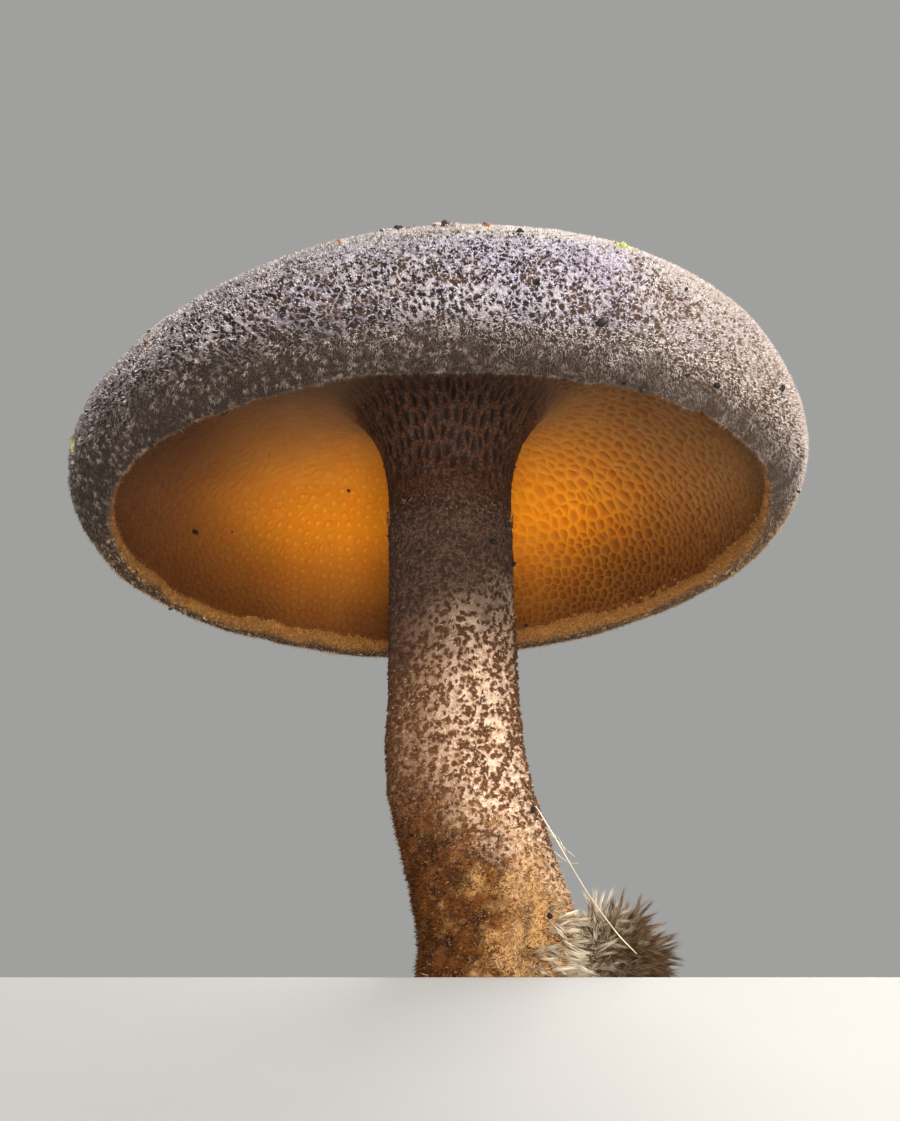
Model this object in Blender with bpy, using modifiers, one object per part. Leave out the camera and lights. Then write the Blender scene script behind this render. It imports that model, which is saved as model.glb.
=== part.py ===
"""A young polypore with a central stem, cut off flat at its foot.

The whole fruit body grew as one piece: a velvety domed cap with a rolled-in
margin, a hollow pore face under it, a stem that the pores run down on, and a
woolly foot with a lobe of mycelium at its right. It is turned from one
profile, bent to its grown shape, joined with its foot lobe and cut flat.

The origin is at the middle of the cut. +Z runs up the stem, +X to the right
and +Y to the back. Lengths below are in millimetres.
"""

import math

import bmesh
import bpy

MM = 0.001

# Cap, measured from the plane of its widest ring.
CAP_RADIUS = 17.0
DOME_HEIGHT = 9.98
DOME_POWER = 1.69
CAP_CENTRE_X = -2.32
CAP_CENTRE_Z = 25.78
CAP_PITCH = 3.94  # degrees, front edge up
CAP_ROLL = 2.13  # degrees, right edge up

# Rolled margin: its lowest ring and the ring where the pores begin.
MARGIN_LOW_RADIUS = 15.22
MARGIN_LOW_DEPTH = 2.18
PORE_EDGE_RADIUS = 15.03
PORE_EDGE_DEPTH = 1.50

# Pore face from its edge up over the ceiling and down the flare of the stem.
PORE_FACE = (
    (14.55, -0.20),
    (13.90, 1.00),
    (12.60, 2.45),
    (11.00, 3.55),
    (9.20, 4.35),
    (7.60, 4.60),
    (6.30, 4.35),
    (5.30, 3.85),
    (4.50, 3.20),
    (3.85, 2.40),
    (3.40, 1.50),
    (3.05, 0.30),
    (2.89, -0.90),
)

# Growth asymmetry of the cap.
SHOULDER_SKEW = 0.16  # the right shoulder is fuller than the left
SADDLE_COS, SADDLE_SIN = 0.309, 0.116
OUTLINE_2, OUTLINE_3, OUTLINE_3S, OUTLINE_4 = 0.008, -0.006, 0.003, -0.004

# Stem stations: height over the cut, centre x, centre y, radius.
STEM = (
    (24.60, -1.92, 0.00, 2.88),
    (22.00, -1.87, 0.05, 2.83),
    (19.60, -1.83, 0.10, 2.81),
    (15.70, -1.79, 0.15, 2.82),
    (12.90, -1.72, 0.15, 2.96),
    (11.20, -1.57, 0.12, 3.05),
    (9.50, -1.25, 0.08, 3.20),
    (7.90, -0.82, 0.04, 3.28),
    (6.50, -0.42, 0.00, 3.33),
    (5.10, -0.05, 0.00, 3.40),
    (3.60, 0.28, 0.00, 3.50),
    (2.20, 0.36, 0.00, 3.60),
    (1.00, 0.20, 0.00, 3.75),
    (-0.80, 0.00, 0.00, 3.90),
)
STEM_SEGMENT = 1.9  # about this far between the rings of the stem
FLARE_OUTER, FLARE_INNER = 8.0, 3.7  # between them, cap turns into stem

# Lobe of mycelium at the right of the foot.
LOBE_CENTRE = (5.00, 0.20, 2.20)
LOBE_RADII = (3.05, 2.90, 3.40)

DOME_RINGS = 13
MARGIN_RINGS = 5
TURN_STEPS = 64
CUT_DEPTH = 2.0


def smoothstep(low, high, value):
    t = min(max((value - low) / (high - low), 0.0), 1.0)
    return t * t * (3 - 2 * t)


def spline(stations, value):
    """Smooth curve through stations sorted by their first number, falling."""
    last = len(stations) - 1
    i = 0
    while i < last - 1 and value < stations[i + 1][0]:
        i += 1
    a, b = stations[i], stations[i + 1]
    before, after = stations[max(i - 1, 0)], stations[min(i + 2, last)]
    span = b[0] - a[0]
    t = min(max((value - a[0]) / span, 0.0), 1.0)
    out = []
    for k in range(1, len(a)):
        slope_a = (b[k] - before[k]) / (b[0] - before[0]) * span
        slope_b = (after[k] - a[k]) / (after[0] - a[0]) * span
        out.append(
            (2 * t**3 - 3 * t**2 + 1) * a[k]
            + (t**3 - 2 * t**2 + t) * slope_a
            + (3 * t**2 - 2 * t**3) * b[k]
            + (t**3 - t**2) * slope_b
        )
    return out


def profile():
    """Half section of the fruit body, from the top of the dome down its
    outer side, round the margin, over the pore face and down the stem."""
    points = []
    for i in range(DOME_RINGS + 1):
        r = CAP_RADIUS * math.sin(0.5 * math.pi * i / DOME_RINGS)
        rest = 1 - (r / CAP_RADIUS) ** DOME_POWER
        points.append((r, DOME_HEIGHT * math.sqrt(max(rest, 0.0))))
    for i in range(1, MARGIN_RINGS + 1):
        t = 0.5 * math.pi * i / MARGIN_RINGS
        points.append(
            (
                MARGIN_LOW_RADIUS + (CAP_RADIUS - MARGIN_LOW_RADIUS) * math.cos(t),
                -MARGIN_LOW_DEPTH * math.sin(t),
            )
        )
    points.append((PORE_EDGE_RADIUS, -PORE_EDGE_DEPTH))
    points.extend(PORE_FACE)
    top = STEM[0][0] - 0.9
    steps = round((top + 0.8) / STEM_SEGMENT)
    for i in range(steps + 1):
        height = top - (top + 0.8) * i / steps
        points.append((spline(STEM, height)[2], height - CAP_CENTRE_Z))
    points.append((0.0, -0.8 - CAP_CENTRE_Z))
    return points


def grown(x, y, z):
    """Moves a point of the turned body to where it grew."""
    r, turn = math.hypot(x, y), math.atan2(y, x)
    stem = 1 - smoothstep(FLARE_INNER, FLARE_OUTER, r) if z < 4.62 else 0.0
    if r < 1e-6 and z > 0:
        stem = 0.0
    if z < -3.0:
        stem = 1.0
    out = r / CAP_RADIUS
    # Where it belongs to the cap.
    rise = z
    if z > 0:
        rise *= 1 + SHOULDER_SKEW * math.cos(turn) * out**2
    rise += out**3 * (SADDLE_COS * math.cos(2 * turn) + SADDLE_SIN * math.sin(2 * turn))
    wide = r * (
        1
        + OUTLINE_2 * math.cos(2 * turn)
        + OUTLINE_3 * math.cos(3 * turn)
        + OUTLINE_3S * math.sin(3 * turn)
        + OUTLINE_4 * math.cos(4 * turn)
    )
    px, py, pz = wide * math.cos(turn), wide * math.sin(turn), rise
    pitch, roll = math.radians(CAP_PITCH), math.radians(CAP_ROLL)
    py, pz = (
        py * math.cos(pitch) + pz * math.sin(pitch),
        pz * math.cos(pitch) - py * math.sin(pitch),
    )
    px, pz = (
        px * math.cos(roll) - pz * math.sin(roll),
        px * math.sin(roll) + pz * math.cos(roll),
    )
    px, pz = px + CAP_CENTRE_X, pz + CAP_CENTRE_Z
    # Where it belongs to the stem.
    height = z + CAP_CENTRE_Z
    cx, cy, _ = spline(STEM, min(height, STEM[0][0]))
    sx, sy, sz = cx + x, cy + y, height
    return (
        px + (sx - px) * stem,
        py + (sy - py) * stem,
        pz + (sz - pz) * stem,
    )


def material(name, colour, roughness):
    mat = bpy.data.materials.new(name)
    mat.use_nodes = True
    surface = mat.node_tree.nodes["Principled BSDF"]
    surface.inputs["Base Color"].default_value = (*colour, 1.0)
    surface.inputs["Roughness"].default_value = roughness
    surface.inputs["Metallic"].default_value = 0.0
    return mat


def collection(name):
    group = bpy.data.collections.new(name)
    bpy.context.scene.collection.children.link(group)
    return group


def evaluated_copy(source, name):
    """The object's mesh with its modifiers applied, as a new object."""
    bpy.context.view_layer.update()
    graph = bpy.context.evaluated_depsgraph_get()
    mesh = bpy.data.meshes.new_from_object(source.evaluated_get(graph))
    copy = bpy.data.objects.new(name, mesh)
    copy.matrix_world = source.matrix_world
    return copy


def turned_body(cutters):
    """The profile turned about the stem's axis."""
    points = profile()
    mesh = bpy.data.meshes.new("body_profile")
    mesh.from_pydata(
        [(r * MM, 0.0, z * MM) for r, z in points],
        [(i, i + 1) for i in range(len(points) - 1)],
        [],
    )
    outline = bpy.data.objects.new("body_profile", mesh)
    cutters.objects.link(outline)
    screw = outline.modifiers.new("Turn", "SCREW")
    screw.axis = "Z"
    screw.angle = math.tau
    screw.steps = TURN_STEPS
    screw.render_steps = TURN_STEPS
    screw.use_merge_vertices = True
    screw.merge_threshold = 0.00001
    screw.use_smooth_shade = True
    return outline


def foot_lobe():
    """Rounded lobe of mycelium, a little lumpy, that sits in the foot."""
    bm = bmesh.new()
    bmesh.ops.create_icosphere(bm, subdivisions=3, radius=1.0)
    for v in bm.verts:
        x, y, z = v.co
        lump = 1 + 0.05 * math.sin(4.1 * x + 1.3) * math.sin(3.7 * y + 2.1 * z)
        v.co = (
            (LOBE_CENTRE[0] + LOBE_RADII[0] * x * lump) * MM,
            (LOBE_CENTRE[1] + LOBE_RADII[1] * y * lump) * MM,
            (LOBE_CENTRE[2] + LOBE_RADII[2] * z * lump) * MM,
        )
    mesh = bpy.data.meshes.new("foot_lobe")
    bm.to_mesh(mesh)
    bm.free()
    return bpy.data.objects.new("foot_lobe", mesh)


def ground_cutter():
    """Block whose top face is the plane of the cut."""
    bpy.ops.mesh.primitive_cube_add(size=1.0, location=(0, 0, -0.5 * CUT_DEPTH * MM))
    block = bpy.context.object
    block.name = "ground_cutter"
    block.scale = (40 * MM, 40 * MM, CUT_DEPTH * MM)
    bpy.ops.object.transform_apply(location=False, rotation=False, scale=True)
    return block


def hide(guide):
    guide.hide_render = True
    guide.display_type = "WIRE"


def boolean(target, name, operation, other):
    modifier = target.modifiers.new(name, "BOOLEAN")
    modifier.operation = operation
    modifier.solver = "EXACT"
    modifier.object = other


def main():
    for old in list(bpy.data.objects):
        bpy.data.objects.remove(old, do_unlink=True)
    parts = collection("bracket_fungus")
    cutters = collection("cutters")

    outline = turned_body(cutters)
    body = evaluated_copy(outline, "fruit_body")
    for v in body.data.vertices:
        x, y, z = (c / MM for c in v.co)
        v.co = [c * MM for c in grown(x, y, z)]
    bm = bmesh.new()
    bm.from_mesh(body.data)
    bmesh.ops.remove_doubles(bm, verts=bm.verts, dist=0.000001)
    bmesh.ops.recalc_face_normals(bm, faces=bm.faces)
    bm.to_mesh(body.data)
    bm.free()
    parts.objects.link(body)

    lobe = foot_lobe()
    cutters.objects.link(lobe)
    block = ground_cutter()
    for group in list(block.users_collection):
        group.objects.unlink(block)
    cutters.objects.link(block)
    for guide in (outline, lobe, block):
        hide(guide)

    boolean(body, "Foot lobe", "UNION", lobe)
    boolean(body, "Flat cut", "DIFFERENCE", block)
    body.data.materials.clear()
    body.data.materials.append(material("fungus_flesh", (0.33, 0.24, 0.17), 0.85))
    body.data.shade_smooth()


main()
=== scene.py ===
import math

import bmesh
import bpy
import numpy as np
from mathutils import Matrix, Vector
from mathutils.bvhtree import BVHTree
from mathutils.geometry import delaunay_2d_cdt


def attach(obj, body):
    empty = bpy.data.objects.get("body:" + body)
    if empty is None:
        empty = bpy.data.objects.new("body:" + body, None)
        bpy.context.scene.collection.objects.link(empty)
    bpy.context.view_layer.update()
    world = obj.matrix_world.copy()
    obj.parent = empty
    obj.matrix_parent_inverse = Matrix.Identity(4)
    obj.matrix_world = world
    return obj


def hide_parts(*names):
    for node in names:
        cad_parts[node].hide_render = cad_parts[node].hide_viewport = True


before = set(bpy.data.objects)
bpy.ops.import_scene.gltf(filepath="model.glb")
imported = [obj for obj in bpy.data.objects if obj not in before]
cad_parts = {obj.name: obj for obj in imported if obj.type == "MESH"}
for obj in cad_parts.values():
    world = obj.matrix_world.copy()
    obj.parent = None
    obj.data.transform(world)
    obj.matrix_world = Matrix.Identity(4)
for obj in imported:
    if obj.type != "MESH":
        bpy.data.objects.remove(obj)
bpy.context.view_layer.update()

MM = 0.001
TAU = 2 * math.pi

# ---------------------------------------------------------------- dimensions
# The grown shape, in millimetres, as the CAD solid has it.
CAP_RADIUS = 17.0
DOME_HEIGHT = 9.98
DOME_POWER = 1.69
CAP_CENTRE = (-2.32, 0.0, 25.78)
CAP_PITCH = math.radians(3.94)
CAP_ROLL = math.radians(2.13)
MARGIN_LOW = (15.22, -2.18)
PORE_EDGE = (15.03, -1.50)
PORE_FACE = (
    (14.55, -0.20), (13.90, 1.00), (12.60, 2.45), (11.00, 3.55), (9.20, 4.35),
    (7.60, 4.60), (6.30, 4.35), (5.30, 3.85), (4.50, 3.20), (3.85, 2.40),
    (3.40, 1.50), (3.05, 0.30), (2.89, -0.90),
)
SHOULDER_SKEW = 0.16
SADDLE_COS, SADDLE_SIN = 0.309, 0.116
OUTLINE_2, OUTLINE_3, OUTLINE_3S, OUTLINE_4 = 0.008, -0.006, 0.003, -0.004
STEM = np.array((
    (24.60, -1.92, 0.00, 2.88), (22.00, -1.87, 0.05, 2.83),
    (19.60, -1.83, 0.10, 2.81), (15.70, -1.79, 0.15, 2.82),
    (12.90, -1.72, 0.15, 2.96), (11.20, -1.57, 0.12, 3.05),
    (9.50, -1.25, 0.08, 3.20), (7.90, -0.82, 0.04, 3.28),
    (6.50, -0.42, 0.00, 3.33), (5.10, -0.05, 0.00, 3.40),
    (3.60, 0.28, 0.00, 3.50), (2.20, 0.36, 0.00, 3.60),
    (1.00, 0.20, 0.00, 3.75), (-0.80, 0.00, 0.00, 3.90),
))
FLARE_OUTER, FLARE_INNER = 8.0, 3.7
LOBE_CENTRE = np.array((5.00, 0.20, 2.20))
LOBE_RADII = np.array((3.05, 2.90, 3.40)) - 1.0  # without its long down


# --------------------------------------------------------------- mathematics
def smooth(low, high, x):
    t = np.clip((np.asarray(x, float) - low) / (high - low), 0.0, 1.0)
    return t * t * (3 - 2 * t)


def mixed(a, b, t):
    return a + (b - a) * t


def lattice(i, seed):
    """A number from 0 to 1 for each row of whole numbers, always the same."""
    n = i.astype(np.int64).astype(np.uint32)
    h = (
        n[..., 0] * np.uint32(374761393)
        + n[..., 1] * np.uint32(668265263)
        + n[..., 2] * np.uint32(2246822519)
        + np.uint32((seed * 3266489917 + 12345) % 4294967296)
    )
    h = (h ^ (h >> np.uint32(15))) * np.uint32(2246822519)
    h = (h ^ (h >> np.uint32(13))) * np.uint32(3266489917)
    h = h ^ (h >> np.uint32(16))
    return h.astype(np.float64) / 4294967295.0


def noise(p, seed):
    """Smooth noise from 0 to 1 over points p, one lump per unit."""
    i = np.floor(p)
    f = p - i
    u = f * f * (3 - 2 * f)
    out = 0.0
    for dx in (0, 1):
        for dy in (0, 1):
            for dz in (0, 1):
                w = (
                    (u[..., 0] if dx else 1 - u[..., 0])
                    * (u[..., 1] if dy else 1 - u[..., 1])
                    * (u[..., 2] if dz else 1 - u[..., 2])
                )
                out = out + w * lattice(i + (dx, dy, dz), seed)
    return out


def fractal(p, seed, octaves=3, gain=0.5):
    total, weight, out = 0.0, 1.0, 0.0
    for k in range(octaves):
        out = out + weight * noise(p * 2.03**k + 17.3 * k, seed + k)
        total += weight
        weight *= gain
    return out / total


def cells(p, seed):
    """Distances to the nearest and second nearest of scattered points, and a
    number from 0 to 1 that is the same all over each cell."""
    i = np.floor(p)
    best = np.full(p.shape[:-1], 9.0)
    second = np.full(p.shape[:-1], 9.0)
    mark = np.zeros(p.shape[:-1])
    for dx in (-1, 0, 1):
        for dy in (-1, 0, 1):
            for dz in (-1, 0, 1):
                j = i + (dx, dy, dz)
                q = np.stack([lattice(j, seed + k) for k in (1, 2, 3)], -1) + j
                d = np.sqrt(((q - p) ** 2).sum(-1))
                nearer = d < best
                second = np.where(nearer, best, np.minimum(second, d))
                mark = np.where(nearer, lattice(j, seed + 9), mark)
                best = np.where(nearer, d, best)
    return best, second, mark


def curve_through(stations, steps):
    """Even points along a smooth curve through the stations (Catmull-Rom)."""
    p = np.array(stations, float)
    p = np.vstack([2 * p[0] - p[1], p, 2 * p[-1] - p[-2]])
    out = []
    for k in range(1, len(p) - 2):
        a, b, c, d = p[k - 1 : k + 3]
        for t in np.linspace(0, 1, steps, endpoint=False):
            out.append(
                0.5 * (2 * b + (c - a) * t + (2 * a - 5 * b + 4 * c - d) * t * t
                       + (3 * b - a - 3 * c + d) * t**3)
            )
    out.append(p[-2])
    return np.array(out)


def by_length(points, count):
    """The same polyline with evenly spaced points, and its length."""
    step = np.linalg.norm(np.diff(points, axis=0), axis=1)
    along = np.concatenate([[0.0], np.cumsum(step)])
    at = np.linspace(0, along[-1], count)
    return np.stack([np.interp(at, along, c) for c in points.T], 1), along[-1]


# ------------------------------------------------------------ the grown shape
_heights = np.linspace(-0.8, 24.6, 800)


def _stem_table():
    rows = STEM[::-1]
    h = rows[:, 0]
    slopes = np.empty_like(rows[:, 1:])
    slopes[1:-1] = (rows[2:, 1:] - rows[:-2, 1:]) / (h[2:] - h[:-2])[:, None]
    slopes[0] = (rows[1, 1:] - rows[0, 1:]) / (h[1] - h[0])
    slopes[-1] = (rows[-1, 1:] - rows[-2, 1:]) / (h[-1] - h[-2])
    k = np.clip(np.searchsorted(h, _heights, side="right") - 1, 0, len(h) - 2)
    span = (h[k + 1] - h[k])[:, None]
    t = ((_heights - h[k])[:, None]) / span
    return (
        (2 * t**3 - 3 * t**2 + 1) * rows[k, 1:]
        + (t**3 - 2 * t**2 + t) * slopes[k] * span
        + (3 * t**2 - 2 * t**3) * rows[k + 1, 1:]
        + (t**3 - t**2) * slopes[k + 1] * span
    )


_table = _stem_table()


def stem_at(height):
    """Centre x, centre y and radius of the stem at each height."""
    return [np.interp(height, _heights, _table[:, k]) for k in range(3)]


def cap_place(r, turn, z):
    """Where a point of the turned cap grew."""
    out = r / CAP_RADIUS
    rise = z * (1 + SHOULDER_SKEW * np.cos(turn) * out**2 * (z > 0))
    rise = rise + out**3 * (
        SADDLE_COS * np.cos(2 * turn) + SADDLE_SIN * np.sin(2 * turn)
    )
    wide = r * (
        1 + OUTLINE_2 * np.cos(2 * turn) + OUTLINE_3 * np.cos(3 * turn)
        + OUTLINE_3S * np.sin(3 * turn) + OUTLINE_4 * np.cos(4 * turn)
    )
    x, y = wide * np.cos(turn), wide * np.sin(turn)
    y, up = (
        y * math.cos(CAP_PITCH) + rise * math.sin(CAP_PITCH),
        rise * math.cos(CAP_PITCH) - y * math.sin(CAP_PITCH),
    )
    x, up = (
        x * math.cos(CAP_ROLL) - up * math.sin(CAP_ROLL),
        x * math.sin(CAP_ROLL) + up * math.cos(CAP_ROLL),
    )
    return np.stack([x + CAP_CENTRE[0], y + CAP_CENTRE[1], up + CAP_CENTRE[2]], -1)


def stem_place(r, turn, z):
    height = z + CAP_CENTRE[2]
    cx, cy, _ = stem_at(height)
    return np.stack([cx + r * np.cos(turn), cy + r * np.sin(turn), height], -1)


def under_place(r, turn, z):
    """A point of the underside, which turns from cap into stem."""
    share = (1 - smooth(FLARE_INNER, FLARE_OUTER, r))[..., None]
    return cap_place(r, turn, z) * (1 - share) + stem_place(r, turn, z) * share


# --------------------------------------------------------------- mesh helpers
def vertex_normals(v, faces):
    """Area-weighted normals; faces is an array of triangles or quads."""
    a, b, c = v[faces[:, 0]], v[faces[:, 1]], v[faces[:, 2]]
    n = np.cross(b - a, c - a)
    if faces.shape[1] == 4:
        d = v[faces[:, 3]]
        n = np.cross(c - a, d - b)
    out = np.zeros_like(v)
    for k in range(faces.shape[1]):
        for axis in range(3):
            out[:, axis] += np.bincount(faces[:, k], n[:, axis], len(v))
    return out / np.maximum(np.linalg.norm(out, axis=1, keepdims=True), 1e-12)


def new_mesh(name, v, face_sets, uv=None, values=None, material=None, flat=False):
    """Mesh object from points in millimetres. face_sets is a list of arrays
    of triangles or quads, uv one pair per corner in the same order, values
    a dict of numbers or colours per point."""
    me = bpy.data.meshes.new(name)
    face_sets = [np.asarray(f, np.int32) for f in face_sets if len(f)]
    loops = np.concatenate([f.ravel() for f in face_sets])
    counts = np.concatenate([np.full(len(f), f.shape[1], np.int32) for f in face_sets])
    starts = np.concatenate([[0], np.cumsum(counts)[:-1]]).astype(np.int32)
    me.vertices.add(len(v))
    me.vertices.foreach_set("co", (np.asarray(v) * MM).astype(np.float32).ravel())
    me.loops.add(len(loops))
    me.loops.foreach_set("vertex_index", loops)
    me.polygons.add(len(counts))
    me.polygons.foreach_set("loop_start", starts)
    if uv is not None:
        layer = me.uv_layers.new(name="OFBake", do_init=False)
        layer.uv.foreach_set("vector", np.asarray(uv, np.float32).ravel())
    for key, value in (values or {}).items():
        value = np.asarray(value, np.float32)
        if value.ndim == 1:
            attribute = me.attributes.new(key, "FLOAT", "POINT")
            attribute.data.foreach_set("value", value)
        else:
            attribute = me.attributes.new(key, "FLOAT_COLOR", "POINT")
            rgba = np.ones((len(value), 4), np.float32)
            rgba[:, :3] = value
            attribute.data.foreach_set("color", rgba.ravel())
    me.update(calc_edges=True)
    me.validate()
    me.polygons.foreach_set(
        "use_smooth", np.full(len(me.polygons), not flat, dtype=bool)
    )
    ob = bpy.data.objects.new(name, me)
    bpy.context.scene.collection.objects.link(ob)
    if material is not None:
        me.materials.append(material)
    return ob


def grid_faces(rows, columns, closed=False):
    """Quads of a grid of points, rows by columns, closed round the columns."""
    i = np.arange(rows - 1)[:, None]
    j = np.arange(columns if closed else columns - 1)[None, :]
    k = (j + 1) % columns
    return np.stack(
        [i * columns + j, i * columns + k, (i + 1) * columns + k, (i + 1) * columns + j],
        -1,
    ).reshape(-1, 4)


def srgb(r, g, b):
    """A linear colour from one given as 0 to 255 on a screen."""
    return tuple(
        c / 12.92 if c <= 0.04045 else ((c + 0.055) / 1.055) ** 2.4
        for c in (r / 255, g / 255, b / 255)
    )


def blades(name, root, lean, side, length, width, uv, step, values, material,
           curl=None, flat=True):
    """Fibres as thin tapering blades, one triangle each, or three when they
    curl. uv is each root's place in the map and step the blade's size there."""
    count = len(root)
    left = root - side * (width / 2)[:, None]
    right = root + side * (width / 2)[:, None]
    if curl is None:
        tip = root + lean * length[:, None]
        v = np.stack([left, right, tip], 1).reshape(-1, 3)
        faces = [np.arange(3 * count).reshape(-1, 3)]
        share = np.tile([0.0, 0.0, 1.0], count)
        offset = np.array([[-1, 0], [1, 0], [0, 1.6]]) * step
        corner = (uv[:, None] + offset[None]).reshape(-1, 2)
        each = 3
    else:
        knee = root + lean * (length * 0.55)[:, None]
        tip = root + lean * (length * 0.92)[:, None] + curl * (length * 0.4)[:, None]
        v = np.stack([
            left, right, knee + side * (width * 0.38)[:, None],
            knee - side * (width * 0.38)[:, None], tip], 1).reshape(-1, 3)
        k = 5 * np.arange(count)[:, None]
        faces = [k + [[0, 1, 2, 3]], k + [[3, 2, 4]]]
        share = np.tile([0.0, 0.0, 0.55, 0.55, 1.0], count)
        o = np.array([[-1, 0], [1, 0], [0.8, 1.2], [-0.8, 1.2], [0, 2.2]]) * step
        quad = (uv[:, None] + o[None, [0, 1, 2, 3]]).reshape(-1, 2)
        corner = np.vstack([quad, (uv[:, None] + o[None, [3, 2, 4]]).reshape(-1, 2)])
        each = 5
    values = {key: np.repeat(value, each, axis=0) for key, value in values.items()}
    values["tip"] = share
    return new_mesh(name, v, faces, uv=corner, values=values, material=material, flat=flat)


def unit(a):
    return a / np.maximum(np.linalg.norm(a, axis=-1, keepdims=True), 1e-12)


# ------------------------------------------------------------ material helpers
class Nodes:
    """A few shorthands for writing a material's nodes."""

    def __init__(self, name):
        self.mat = bpy.data.materials.new(name)
        self.mat.use_nodes = True
        self.tree = self.mat.node_tree
        self.shader = self.tree.nodes["Principled BSDF"]
        self.shader.inputs["Specular IOR Level"].default_value = 0.3

    def add(self, kind, **settings):
        node = self.tree.nodes.new(kind)
        for key, value in settings.items():
            setattr(node, key, value)
        return node

    def link(self, a, b):
        self.tree.links.new(a, b)

    def put(self, socket, value):
        if isinstance(value, bpy.types.NodeSocket):
            self.link(value, socket)
        elif isinstance(value, (tuple, list)) and len(value) == 3 and socket.type == "RGBA":
            socket.default_value = (*value, 1.0)
        else:
            socket.default_value = value

    def attribute(self, name, kind="Fac"):
        node = self.add("ShaderNodeAttribute", attribute_name=name)
        return node.outputs[kind]

    def place(self):
        return self.add("ShaderNodeTexCoord").outputs["Object"]

    def noise(self, scale, detail=2.0, rough=0.5, vector=None, distortion=0.0):
        """scale is lumps per millimetre."""
        node = self.add("ShaderNodeTexNoise")
        node.inputs["Scale"].default_value = scale / MM
        node.inputs["Detail"].default_value = detail
        node.inputs["Roughness"].default_value = rough
        node.inputs["Distortion"].default_value = distortion
        self.link(vector or self.place(), node.inputs["Vector"])
        return node.outputs["Fac"]

    def math(self, operation, a, b=0.0, clamp=False):
        node = self.add("ShaderNodeMath", operation=operation, use_clamp=clamp)
        self.put(node.inputs[0], a)
        self.put(node.inputs[1], b)
        return node.outputs[0]

    def span(self, value, low, high, out_low=0.0, out_high=1.0):
        node = self.add("ShaderNodeMapRange", interpolation_type="SMOOTHSTEP")
        self.put(node.inputs["Value"], value)
        node.inputs["From Min"].default_value = low
        node.inputs["From Max"].default_value = high
        node.inputs["To Min"].default_value = out_low
        node.inputs["To Max"].default_value = out_high
        return node.outputs["Result"]

    def mix(self, factor, a, b, blend="MIX"):
        node = self.add("ShaderNodeMix", data_type="RGBA", blend_type=blend)
        self.put(node.inputs["Factor"], factor)
        self.put(node.inputs["A"], a)
        self.put(node.inputs["B"], b)
        return node.outputs["Result"]

    def ramp(self, value, *stops):
        node = self.add("ShaderNodeValToRGB")
        self.put(node.inputs["Fac"], value)
        elements = node.color_ramp.elements
        while len(elements) < len(stops):
            elements.new(0.5)
        for element, (at, colour) in zip(elements, stops):
            element.position = at
            element.color = (*colour, 1.0)
        return node.outputs["Color"]

    def bump(self, height, distance_mm, strength=1.0):
        node = self.add("ShaderNodeBump")
        node.inputs["Strength"].default_value = strength
        node.inputs["Distance"].default_value = distance_mm * MM
        self.link(height, node.inputs["Height"])
        self.link(node.outputs["Normal"], self.shader.inputs["Normal"])

    def finish(self, colour, roughness=0.8, sss=0.0, radius=(1, 0.5, 0.25), scale_mm=0.5,
               sheen=0.0, sheen_tint=(1, 1, 1), sheen_rough=0.5):
        s = self.shader.inputs
        self.put(s["Base Color"], colour)
        self.put(s["Roughness"], roughness)
        s["Subsurface Weight"].default_value = sss
        s["Subsurface Radius"].default_value = radius
        s["Subsurface Scale"].default_value = scale_mm * MM
        s["Sheen Weight"].default_value = sheen
        s["Sheen Tint"].default_value = (*sheen_tint, 1.0)
        s["Sheen Roughness"].default_value = sheen_rough
        return self.mat


# ------------------------------------------------------------------ cap skin
def cap_profile():
    t = np.linspace(0, 0.5 * math.pi, 160)
    r = CAP_RADIUS * np.sin(t)
    z = DOME_HEIGHT * np.sqrt(np.maximum(1 - (r / CAP_RADIUS) ** DOME_POWER, 0))
    dome = np.stack([r, z], 1)
    t = np.linspace(0, 0.5 * math.pi, 40)[1:]
    low_r, low_z = MARGIN_LOW
    roll = np.stack(
        [low_r + (CAP_RADIUS - low_r) * np.cos(t), low_z * np.sin(t)], 1
    )
    # The lip turns in and up under the pores.
    lip = curve_through(
        (roll[-1], (15.02, -2.02), (14.86, -1.72), (14.90, -1.30), (15.15, -0.80)), 8
    )[1:]
    return by_length(np.vstack([dome, roll, lip]), 900)


CAP_LINE, CAP_LENGTH = cap_profile()


def cap_at(along, turn):
    """Place, turned radius and turned height at a share of the way from the
    top of the dome to the lip."""
    at = np.clip(along, 0, 1) * (len(CAP_LINE) - 1)
    k = np.arange(len(CAP_LINE))
    r, z = np.interp(at, k, CAP_LINE[:, 0]), np.interp(at, k, CAP_LINE[:, 1])
    return cap_place(r, turn, z), r, z


def felt_pattern(p, z):
    """The pitted white felt of the cap: 1 on its network, 0 in its pits, a
    number for each pit, and how thickly the felt lies."""
    warp = np.stack([noise(p * 3.4, 40 + k) - 0.5 for k in range(3)], -1) * 0.22
    near, next_, mark = cells((p + warp) / 0.28, 50)
    thick = 0.44 + 0.9 * (fractal(p / 1.2, 60, 3) - 0.5)
    thick = thick + 0.010 * np.clip(p[:, 0] + 2.0, -12, 12)
    thick = thick + 0.10 * smooth(6.5, 9.5, z)
    thick = np.clip(thick, 0.04, 0.85)
    net = 1 - smooth(0.06 + 0.14 * thick, 0.14 + 0.26 * thick, next_ - near)
    return net, mark, thick


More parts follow.
